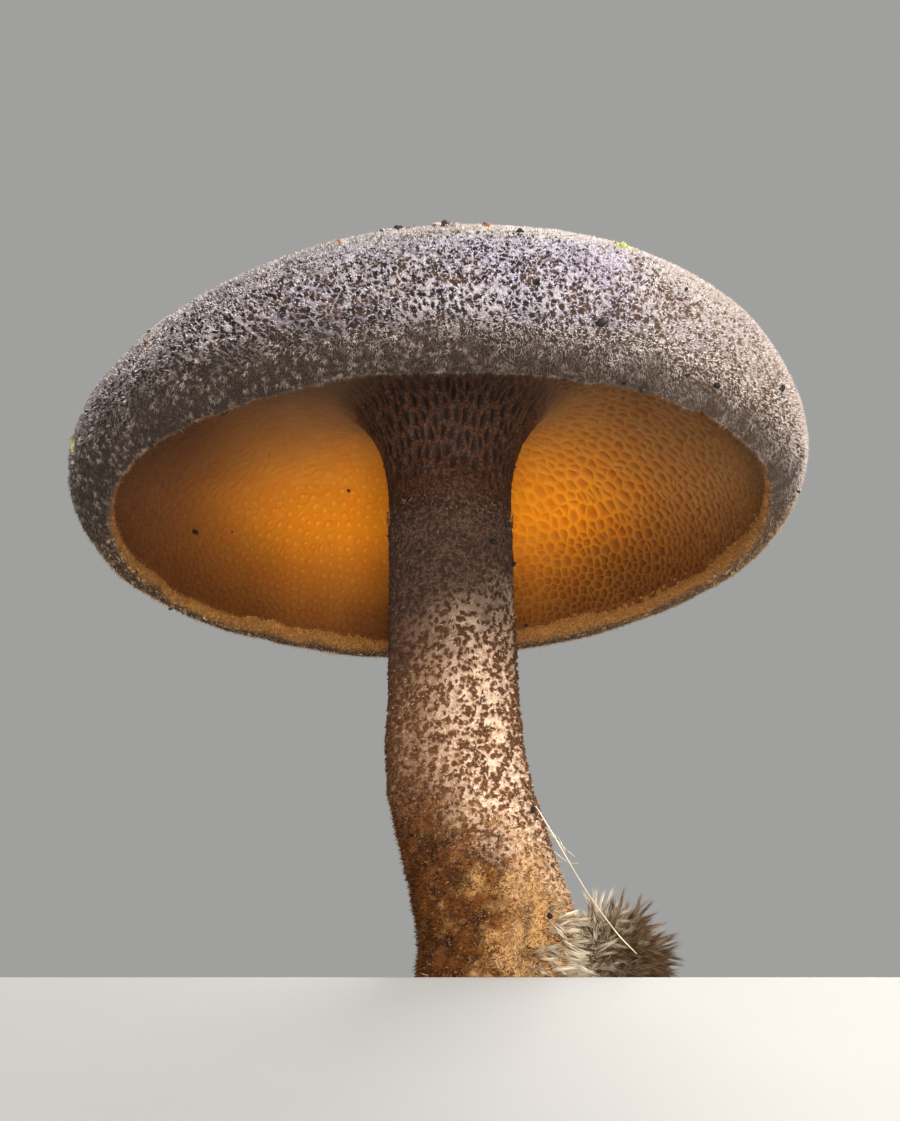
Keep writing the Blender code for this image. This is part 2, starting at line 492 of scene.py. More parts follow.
def disc_grid(n):
    """A square grid of n by n points laid evenly over a disc: share of the
    way out, and angle."""
    a, b = np.meshgrid(np.linspace(-1, 1, n), np.linspace(-1, 1, n), indexing="ij")
    wide = np.abs(a) > np.abs(b)
    with np.errstate(divide="ignore", invalid="ignore"):
        out = np.where(wide, a, b)
        angle = np.where(
            wide, 0.25 * math.pi * b / np.where(a == 0, 1, a),
            0.5 * math.pi - 0.25 * math.pi * a / np.where(b == 0, 1, b),
        )
    angle = np.where((a == 0) & (b == 0), 0.0, angle)
    angle = np.where(out < 0, angle + math.pi, angle)
    return np.abs(out).ravel(), angle.ravel()


def cap_relief(p, z):
    """How far the cap's skin stands out, in millimetres."""
    net, mark, thick = felt_pattern(p, z)
    strength = 0.4 + 0.6 * smooth(-1.2, 1.0, z)
    relief = 0.14 * net * strength * smooth(-1.9, -0.9, z)
    relief = relief + 0.05 * (fractal(p / 0.2, 70, 2) - 0.5)
    relief = relief + 0.28 * (fractal(p / 3.6, 80, 3) - 0.5) - 0.13
    return relief, net, mark, thick


def lip_wander(turn, lip):
    """The margin's edge is a little wavy all round."""
    ring = np.stack([np.cos(turn), np.sin(turn), 0 * turn], -1)
    wave = fractal(ring * 4.2, 90, 3) - 0.5 + 0.5 * (fractal(ring * 17, 95, 2) - 0.5)
    return 0.58 * wave * smooth(3.2, 1.0, lip)


def build_cap_skin():
    n = 290
    out, turn = disc_grid(n)
    p, r, z = cap_at(out, turn)
    faces = grid_faces(n, n)
    normal = vertex_normals(p, faces)
    if normal[np.argmin(out), 2] < 0:
        faces = faces[:, ::-1]
        normal = -normal
    relief, net, mark, thick = cap_relief(p, z)
    lip = (1 - out) * CAP_LENGTH
    relief = np.where(lip < 0.5, relief * 0.3, relief)
    v = p + normal * relief[:, None]
    v[:, 2] += lip_wander(turn, lip)
    gx, gy = np.meshgrid(np.linspace(0, 1, n), np.linspace(0, 1, n), indexing="ij")
    flat_uv = np.stack([gx.ravel(), gy.ravel()], 1)
    # Share of the right side that takes painted light: its pits and fibrils are made lighter.
    values = {"felt": net, "height": z, "lip": lip, "right": 0.5 * smooth(1.0, 13.0, p[:, 0])}
    return new_mesh(
        "cap_skin", v, [faces], uv=flat_uv[faces.ravel()], values=values,
        material=cap_skin_material(),
    )


def cap_skin_material():
    n = Nodes("cap_felt")
    felt, height, lip = n.attribute("felt"), n.attribute("height"), n.attribute("lip")
    fine = n.noise(9.0, 3.0, 0.65)
    broad = n.noise(0.35, 2.0)
    # Pits: dark umber, with some ochre. Felt: white with a lavender cast.
    pit = n.mix(n.span(n.noise(1.8, 2.0), 0.4, 0.7), srgb(34, 25, 22), srgb(78, 56, 42))
    # Painted light: the pits are lighter towards the right.
    pit = n.mix(n.attribute("right"), pit, srgb(136, 104, 82))
    pit = n.mix(n.span(height, 5.5, 9.0, 0.0, 0.5), pit, srgb(108, 88, 78))
    white = n.mix(n.span(broad, 0.35, 0.65), srgb(200, 190, 208), srgb(222, 212, 210))
    ragged = n.math("ADD", felt, n.math("MULTIPLY", n.math("SUBTRACT", fine, 0.5), 1.2))
    upper = n.mix(n.span(ragged, 0.55, 1.25, 0.0, 0.8), pit, white)
    # Towards the margin: greyish brown fibrils, darkened by painted shade under the overhang and lightened by
    # painted light on the right, then golden tan under the lip.
    fibre = n.mix(n.span(fine, 0.35, 0.7), srgb(32, 24, 19), srgb(70, 55, 45))
    fibre = n.mix(n.attribute("right"), fibre, n.mix(fine, srgb(70, 51, 39), srgb(128, 100, 80)))
    wander = n.math("MULTIPLY", n.math("SUBTRACT", broad, 0.5), 3.0)
    colour = n.mix(n.span(n.math("ADD", height, wander), 1.9, -1.8), upper, fibre)
    edge = n.math("ADD", lip, n.math("MULTIPLY", n.math("SUBTRACT", n.noise(1.1), 0.5), 0.5))
    tan = n.mix(n.span(fine, 0.3, 0.75), srgb(112, 72, 32), srgb(168, 120, 62))
    colour = n.mix(n.span(edge, 1.75, 1.05), colour, tan)
    n.bump(fine, 0.03, 0.6)
    return n.finish(colour, 0.92, sss=0.08, radius=(1.0, 0.62, 0.4), scale_mm=0.2)


# ------------------------------------------------------------------ cap fuzz
CAP_AT_AREA = np.concatenate([[0.0], np.cumsum(
    0.5 * (CAP_LINE[1:, 0] + CAP_LINE[:-1, 0])
    * np.linalg.norm(np.diff(CAP_LINE, axis=0), axis=1))])


def scatter_on_cap(rng, count):
    """Places spread evenly over the cap: share of the way out, and angle."""
    at = rng.random(count) * CAP_AT_AREA[-1]
    out = np.interp(at, CAP_AT_AREA, np.linspace(0, 1, len(CAP_LINE)))
    return out, rng.random(count) * TAU


def cap_frame(out, turn):
    """Place, way down the slope, way round, and outward normal."""
    p, r, z = cap_at(out, turn)
    e = 0.002
    down = cap_at(np.minimum(out + e, 1), turn)[0] - cap_at(np.maximum(out - e, 0), turn)[0]
    round_ = cap_at(out, turn + e)[0] - cap_at(out, turn - e)[0]
    down, round_ = unit(down), unit(round_)
    normal = unit(np.cross(down, round_))
    return p, z, down, round_, normal


def build_cap_fuzz(name, seed, count, back):
    rng = np.random.default_rng(seed)
    out, turn = scatter_on_cap(rng, int(count * 4.6))
    keep = (np.sin(turn) > 0) == back
    out, turn = out[keep], turn[keep]
    p, z, down, round_, normal = cap_frame(out, turn)
    relief, net, mark, thick = cap_relief(p, z)
    lip = (1 - out) * CAP_LENGTH
    lift = 0.08 * np.clip(p[:, 0] + 2.0, -3.0, 13.0)
    low = smooth(1.5, -2.2, z + 1.8 * (fractal(p / 1.7, 135, 3) - 0.5) + lift)
    # Near the margin it stands in small tufts, with dark gaps between.
    shifted = p + 0.16 * np.stack([noise(p * 3.0, 131 + k) - 0.5 for k in range(3)], -1)
    near, _, mark2 = cells(shifted / np.array((0.33, 0.33, 0.40)), 130)
    clump = smooth(0.66, 0.20, near) * (0.45 + 0.55 * mark2)
    clump = clump * mixed(0.45, 1.0, smooth(0.30, 0.60, fractal(p / 1.1, 136, 2)))
    chance = mixed(0.008 + 0.992 * net**1.8, 0.25 + 0.75 * clump, low)
    chance = chance * mixed(1.0, 0.75, smooth(1.5, 0.6, lip))
    keep = rng.random(len(chance)) < chance
    index = np.flatnonzero(keep)[:count]
    out, turn, p, z, lip, mark = (a[index] for a in (out, turn, p, z, lip, mark))
    down, round_, normal = down[index], round_[index], normal[index]
    relief, low, net, clump = relief[index], low[index], net[index], clump[index]
    n = len(index)
    relief = np.where(lip < 0.5, relief * 0.3, relief)
    root = p + normal * (relief - 0.015)[:, None]
    root[:, 2] += lip_wander(turn, lip)
    # Fibres lie mostly down the slope; near the margin they comb downwards.
    swing = rng.normal(0, 1, n) * mixed(1.4, 0.7, low)
    rise = mixed(rng.uniform(0.5, 2.4, n), rng.uniform(0.15, 0.9, n), low)
    tall = rng.random(n) < 0.12
    rise = np.where(tall, rng.uniform(1.2, 3.0, n), rise)
    lean = unit(
        down * np.cos(swing)[:, None] + round_ * np.sin(swing)[:, None]
        + normal * rise[:, None]
    )
    side = unit(np.cross(lean, normal) + 0.35 * rng.normal(0, 1, (n, 3)))
    length = rng.uniform(0.07, 0.135, n) * mixed(1.0, 1.8, low) * np.where(tall, 1.3, 1.0)
    length = length * mixed(1.0, 0.8, smooth(1.5, 0.6, lip))
    width = rng.uniform(0.042, 0.068, n) * mixed(1.0, 0.72, low)
    tone = 0.55 * rng.random(n) + 0.45 * mark
    tone = mixed(tone, 0.35 * rng.random(n) + 0.85 * clump, low)
    # Greyer and darker on the left: partly its own greyish brown, partly painted shade on the side away from
    # the light.
    grey_and_shade = smooth(3.0, -11.0, p[:, 0] + 3.0 * (fractal(p / 2.0, 140, 2) - 0.5))
    golden = smooth(1.75, 1.1, lip + 0.5 * (fractal(p / 0.9, 150, 2) - 0.5))
    streak = fractal(np.stack([turn * 26, 0 * turn, z * 0.55], -1), 160, 3)
    uv = 0.5 + 0.485 * (out * 1.0)[:, None] * np.stack([np.cos(turn), np.sin(turn)], 1)
    # Half a disc, stretched over the whole map.
    uv[:, 1] = (uv[:, 1] - 0.5) * 1.96 * (1 if back else -1) + 0.02
    values = {
        "tone": tone, "low": low, "grey_and_shade": grey_and_shade, "golden": golden,
        "streak": streak, "height": z,
        "cool": smooth(11.0, 2.0, p[:, 0]) * smooth(-17.0, -8.0, p[:, 0]) * smooth(-1.8, 1.0, z)
        * smooth(6.6, 3.2, z) * smooth(3.0, -7.0, p[:, 1]) + 0.4 * (fractal(p / 2.5, 145, 2) - 0.5),
        # Warmer whites on the right: partly their own tone, partly painted warmer light.
        "warm_tone_and_light": 0.75 * smooth(5.0, 14.0, p[:, 0]),
        # The far side of the low margin, paled by painted back light.
        "far": 0.9 * smooth(-1.0, 6.5, p[:, 1]) * smooth(0.2, -1.7, z),
    }
    return blades(
        name, root, lean, side, length, width, uv, 0.0011, values,
        cap_fuzz_material(name),
    )


def cap_fuzz_material(name):
    n = Nodes(name)
    tone, low, grey_and_shade = n.attribute("tone"), n.attribute("low"), n.attribute("grey_and_shade")
    golden, streak, height = n.attribute("golden"), n.attribute("streak"), n.attribute("height")
    cool = n.span(n.attribute("cool"), 0.1, 0.8)
    white = n.mix(tone, n.mix(cool, srgb(206, 193, 186), srgb(194, 186, 204)),
                  n.mix(cool, srgb(255, 251, 246), srgb(243, 241, 255)))
    cream = n.mix(tone, srgb(214, 200, 188), srgb(255, 249, 240))
    white = n.mix(n.span(height, 8.0, 10.2), white, cream)
    # Painted warmer light, over their own tone, on the right.
    white = n.mix(n.attribute("warm_tone_and_light"), white, n.mix(tone, srgb(160, 140, 128), srgb(240, 227, 218)))
    # On the left the felt is duller and darker, partly with painted shade.
    dull = n.mix(n.span(tone, 0.25, 0.85), srgb(76, 64, 60), srgb(240, 231, 232))
    white = n.mix(n.math("MULTIPLY", grey_and_shade, 0.85), white, dull)
    brown = n.mix(n.span(tone, 0.1, 1.0), srgb(60, 45, 37), srgb(184, 164, 150))
    pale = n.mix(tone, n.mix(cool, srgb(104, 86, 76), srgb(112, 98, 100)),
                 n.mix(cool, srgb(232, 218, 208), srgb(236, 228, 236)))
    brown = n.mix(n.span(streak, 0.42, 0.68), brown, pale)
    # Low fibrils darker on the left, partly with painted shade.
    brown = n.mix(n.math("MULTIPLY", grey_and_shade, 0.85), brown, n.mix(n.span(tone, 0.22, 0.95), srgb(28, 19, 14), srgb(232, 212, 198)))
    # It darkens right down to the lip: painted shade under the overhang.
    brown = n.mix(n.span(height, -0.2, -2.0, 0.0, 0.66), brown, srgb(62, 47, 38))
    colour = n.mix(n.span(low, 0.15, 0.95), white, brown)
    # The far side of the margin is paler: painted back light on its edge.
    colour = n.mix(n.attribute("far"), colour, n.mix(tone, srgb(140, 92, 38), srgb(238, 204, 146)))
    gold = n.mix(n.span(tone, 0.0, 1.0), srgb(112, 64, 18), srgb(200, 138, 58))
    colour = n.mix(golden, colour, gold)
    return n.finish(colour, 0.85, sheen=0.15, sheen_tint=(0.95, 0.93, 1.0), sheen_rough=0.5)


# ---------------------------------------------------------------- pore layer
def under_line():
    """Half section of the pore face from under the lip to the stem's neck."""
    neck = [(2.86, -1.9), (2.84, -2.9), (2.83, -3.9)]
    stations = [(15.12, -1.95), (14.93, -1.35)] + list(PORE_FACE) + neck
    return by_length(curve_through(stations, 24), 1200)


UNDER_LINE, UNDER_LENGTH = under_line()


def under_at(s):
    k = np.linspace(0, UNDER_LENGTH, len(UNDER_LINE))
    return np.interp(s, k, UNDER_LINE[:, 0]), np.interp(s, k, UNDER_LINE[:, 1])


def pore_size(s):
    """Pitch round the stem and along the pore rows, at a way s in from the
    margin, in millimetres."""
    r, z = under_at(s)
    across = mixed(0.36, 0.53, smooth(0.0, 6.5, s)) * mixed(1.0, 0.86, smooth(6.0, 3.6, r))
    stretch = mixed(1.0, 1.3, smooth(1.5, 7.0, s)) + 0.75 * smooth(6.5, 3.4, r)
    return across, across * stretch


def build_pores():
    rng = np.random.default_rng(11)
    length = UNDER_LENGTH
    # Rows of pores from the margin in; each row fills its ring.
    seeds = []
    s, row = -0.6, 0
    while s < length + 1.2:
        inside = np.clip(s, 0, length)
        across, along = pore_size(inside)
        r = float(under_at(inside)[0])
        count = max(int(round(TAU * r / across)), 12)
        j = np.arange(count)
        turn = (j + rng.uniform(0, 1) + rng.uniform(-0.40, 0.40, count)) / count * TAU
        at = s + rng.uniform(-0.40, 0.40, count) * along
        at = at + 0.22 * along * np.sin(5 * turn + 1.7 * row)
        seeds.append(np.stack([at, turn % TAU], 1))
        s += along * 0.87
        row += 1
    seeds = np.vstack(seeds)
    # A flat map in which pores are as wide as they are long.
    steps = np.linspace(-2.0, length + 2.0, 4000)
    inside = np.clip(steps, 0, length)
    across, along = pore_size(inside)
    rate = across / along / under_at(inside)[0]
    shrink = np.concatenate([[0], np.cumsum(0.5 * (rate[1:] + rate[:-1]) * np.diff(steps))])

    def to_map(s):
        return np.exp(-np.interp(s, steps, shrink)) * 100.0

    def from_map(m):
        return np.interp(-np.log(np.maximum(m, 1e-9) / 100.0), shrink, steps)

    m = to_map(seeds[:, 0])
    flat = np.stack([m * np.cos(seeds[:, 1]), m * np.sin(seeds[:, 1])], 1)
    out = delaunay_2d_cdt([Vector(q) for q in flat], [], [], 0, 1e-7)
    pts = np.array([tuple(q) for q in out[0]])
    tri = np.array([f for f in out[2] if len(f) == 3], int)
    a, b, c = pts[tri[:, 0]], pts[tri[:, 1]], pts[tri[:, 2]]
    # Middle of each triangle's circle: a corner where three pores meet,
    # drawn towards the triangle's own middle to avoid slits.
    d = 2 * (a[:, 0] * (b[:, 1] - c[:, 1]) + b[:, 0] * (c[:, 1] - a[:, 1])
             + c[:, 0] * (a[:, 1] - b[:, 1]))
    d = np.where(np.abs(d) < 1e-12, 1e-12, d)
    aa, bb, cc = (a**2).sum(1), (b**2).sum(1), (c**2).sum(1)
    ux = (aa * (b[:, 1] - c[:, 1]) + bb * (c[:, 1] - a[:, 1]) + cc * (a[:, 1] - b[:, 1])) / d
    uy = (aa * (c[:, 0] - b[:, 0]) + bb * (a[:, 0] - c[:, 0]) + cc * (b[:, 0] - a[:, 0])) / d
    centre = 0.72 * np.stack([ux, uy], 1) + 0.28 * (a + b + c) / 3
    around = [[] for _ in range(len(pts))]
    for t, (i, j, k) in enumerate(tri):
        around[i].append(t)
        around[j].append(t)
        around[k].append(t)
    spot, sunk, kind = [], [], []
    corner_at, middle_at = {}, {}
    faces4, faces3 = [], []

    def point(q, depth, deep):
        spot.append((float(q[0]), float(q[1])))
        sunk.append(float(depth))
        kind.append(deep)
        return len(spot) - 1

    low, high = to_map(length - 0.12), to_map(0.02)
    for i, star in enumerate(around):
        rad = math.hypot(*pts[i])
        if not low < rad < high or len(star) < 3:
            continue
        ring = centre[star]
        angle = np.arctan2(ring[:, 1] - pts[i, 1], ring[:, 0] - pts[i, 0])
        order = np.argsort(angle)
        star = [star[k] for k in order]
        ring = ring[order]
        mid = ring.mean(0)
        s_mid = float(from_map(math.hypot(*mid)))
        r_mid, z_mid = (float(q) for q in under_at(s_mid))
        here = math.atan2(mid[1], mid[0])
        x_mid, y_mid = r_mid * math.cos(here), r_mid * math.sin(here)
        neck = float(smooth(5.4, 3.9, r_mid))
        # Shallow bowls: deepest on the right, faint on the left, in front and
        # at the margin, long slots on the neck.
        depth = 0.26 * float(smooth(0.0, 1.5, s_mid))
        depth *= mixed(0.40, 1.0, float(smooth(-6.0, 2.0, x_mid)))
        depth *= mixed(0.25, 1.0, float(smooth(-6.0, 6.0, y_mid)))
        calm = float(smooth(5.6, 1.6, x_mid - 2.3) * smooth(2.0, 7.0, y_mid))
        depth *= 1 - 0.5 * calm
        depth = mixed(depth, 0.32 * rng.uniform(0.1, 1.1) * (rng.random() > 0.2), neck)
        fade = 1 - float(smooth(length - 4.6, length - 1.2, s_mid + rng.uniform(-0.8, 0.8)))
        depth = (depth + 0.02) * rng.uniform(0.65, 1.3) * fade
        top = []
        n = len(star)
        for k in range(n):
            t, u = star[k], star[(k + 1) % n]
            if t not in corner_at:
                corner_at[t] = point(centre[t], rng.uniform(-0.02, 0.035), 0.0)
            top.append(corner_at[t])
            key = (min(t, u), max(t, u))
            if key not in middle_at:
                edge = centre[u] - centre[t]
                away = np.array((-edge[1], edge[0])) * rng.uniform(-0.10, 0.10)
                middle_at[key] = point(
                    (centre[t] + centre[u]) / 2 + away, rng.uniform(-0.01, 0.05), 0.0)
            top.append(middle_at[key])
        outline = np.array([spot[k] for k in top])
        # On the neck the slots are narrow, with broad walls between.
        outward = mid / max(math.hypot(*mid), 1e-9)
        rel = outline - mid
        radial = rel @ outward
        cross = rel - radial[:, None] * outward
        rel_in = radial[:, None] * outward * mixed(1.0, 0.80, neck) + cross * mixed(1.0, 0.58, neck)
        mean = np.linalg.norm(rel_in, axis=1).mean()
        round_in = rel_in / np.maximum(np.linalg.norm(rel_in, axis=1, keepdims=True), 1e-9) * mean
        n2 = len(top)
        rings = [top]
        for scale, down, deep, roundness in ((0.70, 0.62, 0.5, 0.2),):
            soft = rel_in * (1 - roundness) + round_in * roundness
            rings.append([point(mid + soft[k] * scale, depth * down, deep) for k in range(n2)])
        hub = point(mid, depth, 1.0)
        for upper, lower in zip(rings[:-1], rings[1:]):
            for k in range(n2):
                j = (k + 1) % n2
                faces4.append((upper[k], upper[j], lower[j], lower[k]))
        for k in range(n2):
            faces3.append((rings[-1][k], rings[-1][(k + 1) % n2], hub))
    q = np.array(spot)
    depth, kind = np.array(sunk), np.array(kind)
    rad = np.hypot(q[:, 0], q[:, 1])
    turn = np.arctan2(q[:, 1], q[:, 0])
    s = np.clip(from_map(rad), 0, length)
    r, z = under_at(s)
    p = under_place(r, turn, z)
    # Direction into the flesh: up on the ceiling, inwards on the neck.
    r2, z2 = under_at(np.clip(s + 0.02, 0, length))
    r1, z1 = under_at(np.clip(s - 0.02, 0, length))
    along = under_place(r2, turn, z2) - under_place(r1, turn, z1)
    across = under_place(r, turn + 0.002, z) - under_place(r, turn - 0.002, z)
    inward = unit(np.cross(along, across))
    out_dir = np.stack([np.cos(turn), np.sin(turn), 0 * turn], -1)
    want = np.where((r > 6)[:, None], np.array((0.0, 0.0, 1.0)), -out_dir)
    want = np.where((r > 13)[:, None], out_dir, want)
    inward *= np.where((inward * want).sum(1) < 0, -1.0, 1.0)[:, None]
    lumps = 0.05 * (fractal(p / 0.55, 100, 2) - 0.5) + 0.22 * (fractal(p / 2.4, 101, 2) - 0.5)
    # The layer sinks into the stem's skin at its lower end.
    sink = 0.14 * smooth(length - 2.6, length - 0.4, s)
    v = p + inward * (depth + lumps + sink)[:, None]
    v[:, 2] += lip_wander(turn, s) * smooth(1.6, 0.2, s)
    f4, f3 = np.array(faces4), np.array(faces3)
    nrm = np.cross(v[f4[:, 1]] - v[f4[:, 0]], v[f4[:, 2]] - v[f4[:, 0]])
    if ((nrm * inward[f4[:, 0]]).sum(1) > 0).mean() > 0.5:
        f4, f3 = f4[:, ::-1], f3[:, ::-1]
    # The map is spread so that the inner pores keep their pixels.
    spread = (rad / 100.0) ** 0.72 / np.maximum(rad / 100.0, 1e-9)
    uv_all = 0.5 + q / 204.0 * spread[:, None] * 0.98
    corner_uv = np.vstack([uv_all[f4.ravel()], uv_all[f3.ravel()]])
    soft = fractal(p / 3.0, 102, 2) - 0.5
    values = {
        "deep": kind, "inner": s, "ring": r,
        "front": smooth(6.5, -2.5, p[:, 1] + 1.5 * soft),
        "left": smooth(1.0, -7.0, p[:, 0]), "calm": 0.65 * smooth(5.6, 1.2, p[:, 0]),
        # How much painted glow, light shining through the thin flesh, it has, and how far it is from the dull
        # tan part in front.
        "painted_glow_share": smooth(15.4, 12.0, r + 0.7 * soft)
        * (1 - 0.64 * smooth(2.8, 9.0, p[:, 0])) * (1 - 0.68 * smooth(-8.5, -15.0, p[:, 0])),
        "far": smooth(1.2, 11.6, p[:, 1] + 1.5 * soft),
        # Darker towards the left edge: partly painted shade.
        "edge": 0.85 * smooth(-8.0, -14.5, p[:, 0] + 1.5 * soft),
        "low": smooth(length - 4.8, length - 1.4, s + 1.5 * soft),
    }
    return new_mesh(
        "pore_layer", v, [f4, f3], uv=corner_uv, values=values,
        material=pore_material(),
    )


def pore_material():
    n = Nodes("pore_layer")
    deep, ring, inner = n.attribute("deep"), n.attribute("ring"), n.attribute("inner")
    front, left = n.attribute("front"), n.attribute("left")
    fine = n.noise(5.0, 3.0, 0.6)
    broad = n.noise(0.9, 3.0, 0.6)
    # Painted glow of light through the thin flesh: bright orange on the far side of the stem, umber towards
    # the margin.
    glow = n.mix(n.attribute("painted_glow_share"), srgb(94, 52, 12), srgb(240, 152, 16))
    # In front it is a dull, smooth tan, partly painted shade.
    tan = n.mix(n.span(inner, 3.6, 0.6), srgb(148, 106, 66), srgb(100, 64, 34))
    tan = n.mix(n.span(front, 0.45, 0.95), tan, srgb(112, 84, 62))
    # Darker towards the left edge, partly painted shade.
    tan = n.mix(n.attribute("edge"), tan, srgb(92, 54, 24))
    colour = n.mix(n.attribute("far"), tan, glow)
    colour = n.mix(n.span(broad, 0.40, 0.66, 0.0, 0.6), colour, (1.0, 0.84, 0.72), "MULTIPLY")
    # Painted shade darkens the pores on the right, but on the left their bottoms are bright dots of painted
    # glow.
    right = n.mix(n.span(deep, 0.15, 0.95), colour, (0.60, 0.52, 0.46), "MULTIPLY")
    left_ = n.mix(n.span(deep, 0.95, 0.70), colour, (0.76, 0.70, 0.62), "MULTIPLY")
    plain = n.mix(1.0, colour, (0.86, 0.82, 0.78), "MULTIPLY")
    left_ = n.mix(n.span(n.attribute("far"), 0.55, 0.95), plain, left_)
    right = n.mix(n.attribute("calm"), right, plain)
    right = n.mix(n.span(front, 0.2, 0.9, 0.0, 0.6), right, plain)
    colour = n.mix(left, right, left_)
    rim = n.mix(fine, srgb(138, 90, 36), srgb(180, 128, 62))
    colour = n.mix(n.span(inner, 0.6, 0.2), colour, rim)
    # Down the stem: mauve brown, partly painted shade, reaching further out on the shaded near side, with
    # slots darkened by painted shade.
    neck = n.mix(n.span(n.noise(8.0, 3.0, 0.65), 0.40, 0.66), srgb(44, 24, 14), srgb(92, 57, 37))
    slot_shade = n.math("MULTIPLY", n.span(deep, 0.12, 0.75), n.span(n.attribute("low"), 0.0, 1.0, 1.0, 0.15))
    neck = n.mix(slot_shade, neck, srgb(24, 13, 8))
    edge = n.math("ADD", ring, n.math("MULTIPLY", n.math("SUBTRACT", fine, 0.5), 0.8))
    side = n.math("ADD", edge, n.math("MULTIPLY", n.math("SUBTRACT", 1.0, front), 1.1))
    colour = n.mix(n.span(side, 5.7, 3.9), colour, neck)
    colour = n.mix(n.span(fine, 0.35, 0.8, 0.0, 0.2), colour, srgb(225, 185, 120), "MULTIPLY")
    n.bump(fine, 0.012, 0.5)
    n.shader.inputs["Specular IOR Level"].default_value = 0.2
    return n.finish(colour, 0.7, sss=0.4, radius=(1.0, 0.5, 0.12), scale_mm=0.6)


# ----------------------------------------------------------------------- stem
STEM_TOP = CAP_CENTRE[2] - 0.9


def stem_surface(height, turn, sunk=1.0):
    """Points of the stem's skin, with what grows there. Its top sinks into
    the cap, behind the pores that run down it."""
    z = height - CAP_CENTRE[2]
    line = UNDER_LINE[::-1]
    flare = np.interp(z, line[:700, 1], line[:700, 0])
    own = stem_at(height)[2]
    p = stem_place(mixed(own, flare, smooth(-3.4, -2.4, z)), turn, z)
    warp = np.stack([noise(p * 3.4, 210 + k) - 0.5 for k in range(3)], -1) * 0.2
    near, next_, mark = cells((p + warp) / np.array((0.205, 0.205, 0.225)), 200)
    patches = fractal(p / 1.0, 240, 3)
    # How far round towards the lit right side. It shifts the grains, wool and dark top, and sets painted shade
    # on the left and painted highlights on the right.
    light = p[:, 0] - stem_at(height)[0]
    grain = smooth(0.62, 0.34, near) * (mark > 0.62 - 0.9 * patches + 0.055 * light)
    near2, _, mark2 = cells(p / 0.15, 230)
    grain2 = smooth(0.55, 0.2, near2) * (mark2 > 0.45)
    wool = smooth(10.8, 4.8, height + 4.2 * (fractal(p / 1.3, 260, 3) - 0.5) + 0.55 * light)
    # The dark top of the stem: mauve brown, partly painted shade under the cap.
    dusky_top_and_shade = smooth(13.8, 20.4, height + 2.6 * (fractal(p / 1.8, 250, 2) - 0.5) - 0.5 * light)
    coarse = smooth(21.0, 15.5, height) * (1 - wool)
    relief = 0.19 * grain * (0.25 + 0.75 * coarse) * (1 - 0.8 * wool)
    relief = relief + 0.05 * grain2 * (0.4 + 0.6 * coarse) * (1 - wool)
    relief = relief + 0.30 * (fractal(p / 0.75, 270, 3) - 0.5) * (0.2 + 0.8 * wool)
    relief = relief + 0.34 * (fractal(p / 2.4, 280, 2) - 0.5) * smooth(24, 19, height)
    # Faint long ridges where the pores run out.
    around = np.stack([np.cos(turn) * 7, np.sin(turn) * 7, height * 0.5], -1)
    relief = relief + 0.12 * (noise(around, 290) - 0.5) * smooth(16, 21, height)
    relief = relief - 0.9 * sunk * smooth(22.9, 24.9, height)
    relief = relief * smooth(-0.2, 0.25, height)
    out = np.stack([np.cos(turn), np.sin(turn), 0 * turn], -1)
    values = {
        "grain": grain, "grain2": grain2, "patches": patches, "wool": wool,
        "dusky_top_and_shade": dusky_top_and_shade, "height": height,
        # Share of the left side that takes painted shade.
        "left": smooth(1.2, -2.2, light),
        # Cream patches on the foot, more on the right: partly painted highlight.
        "cream_and_highlight": smooth(0.36, 0.66, fractal(p / 0.8, 295, 3) + 0.085 * (light - 0.4)),
    }
    return p + out * relief[:, None], out, values


def build_stem():
    rows, columns = ((272, 224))
    height = np.linspace(0, 1, rows) * STEM_TOP
    turn = np.linspace(0, TAU, columns, endpoint=False)
    hh, tt = (a.ravel() for a in np.meshgrid(height, turn, indexing="ij"))
    v, _, values = stem_surface(hh, tt)
    v[:columns, 2] = 0.0
    faces = grid_faces(rows, columns, closed=True)
    hub = len(v)
    v = np.vstack([v, [v[:columns].mean(0)]])
    j = np.arange(columns)
    cap = np.stack([(j + 1) % columns, j, np.full(columns, hub)], 1)
    # The map: the skin unrolled above, the cut face in a corner below.
    i = np.repeat(np.arange(rows - 1), columns)
    jj = np.tile(j, rows - 1)
    quad_uv = np.stack([
        np.stack([jj, i], 1), np.stack([jj + 1, i], 1),
        np.stack([jj + 1, i + 1], 1), np.stack([jj, i + 1], 1)], 1).astype(float)
    quad_uv[..., 0] /= columns
    quad_uv[..., 1] = 0.12 + 0.88 * quad_uv[..., 1] / (rows - 1)

    def disc(k):
        angle = TAU * k / columns
        return np.stack([0.06 + 0.055 * np.cos(angle), 0.06 + 0.055 * np.sin(angle)], -1)

    cap_uv = np.stack([disc(j + 1), disc(j), np.tile([[0.06, 0.06]], (columns, 1))], 1)
    uv = np.vstack([quad_uv.reshape(-1, 2), cap_uv.reshape(-1, 2)])
    values = {key: np.append(a, a[:columns].mean()) for key, a in values.items()}
    return new_mesh("stem", v, [faces, cap], uv=uv, values=values, material=stem_material())


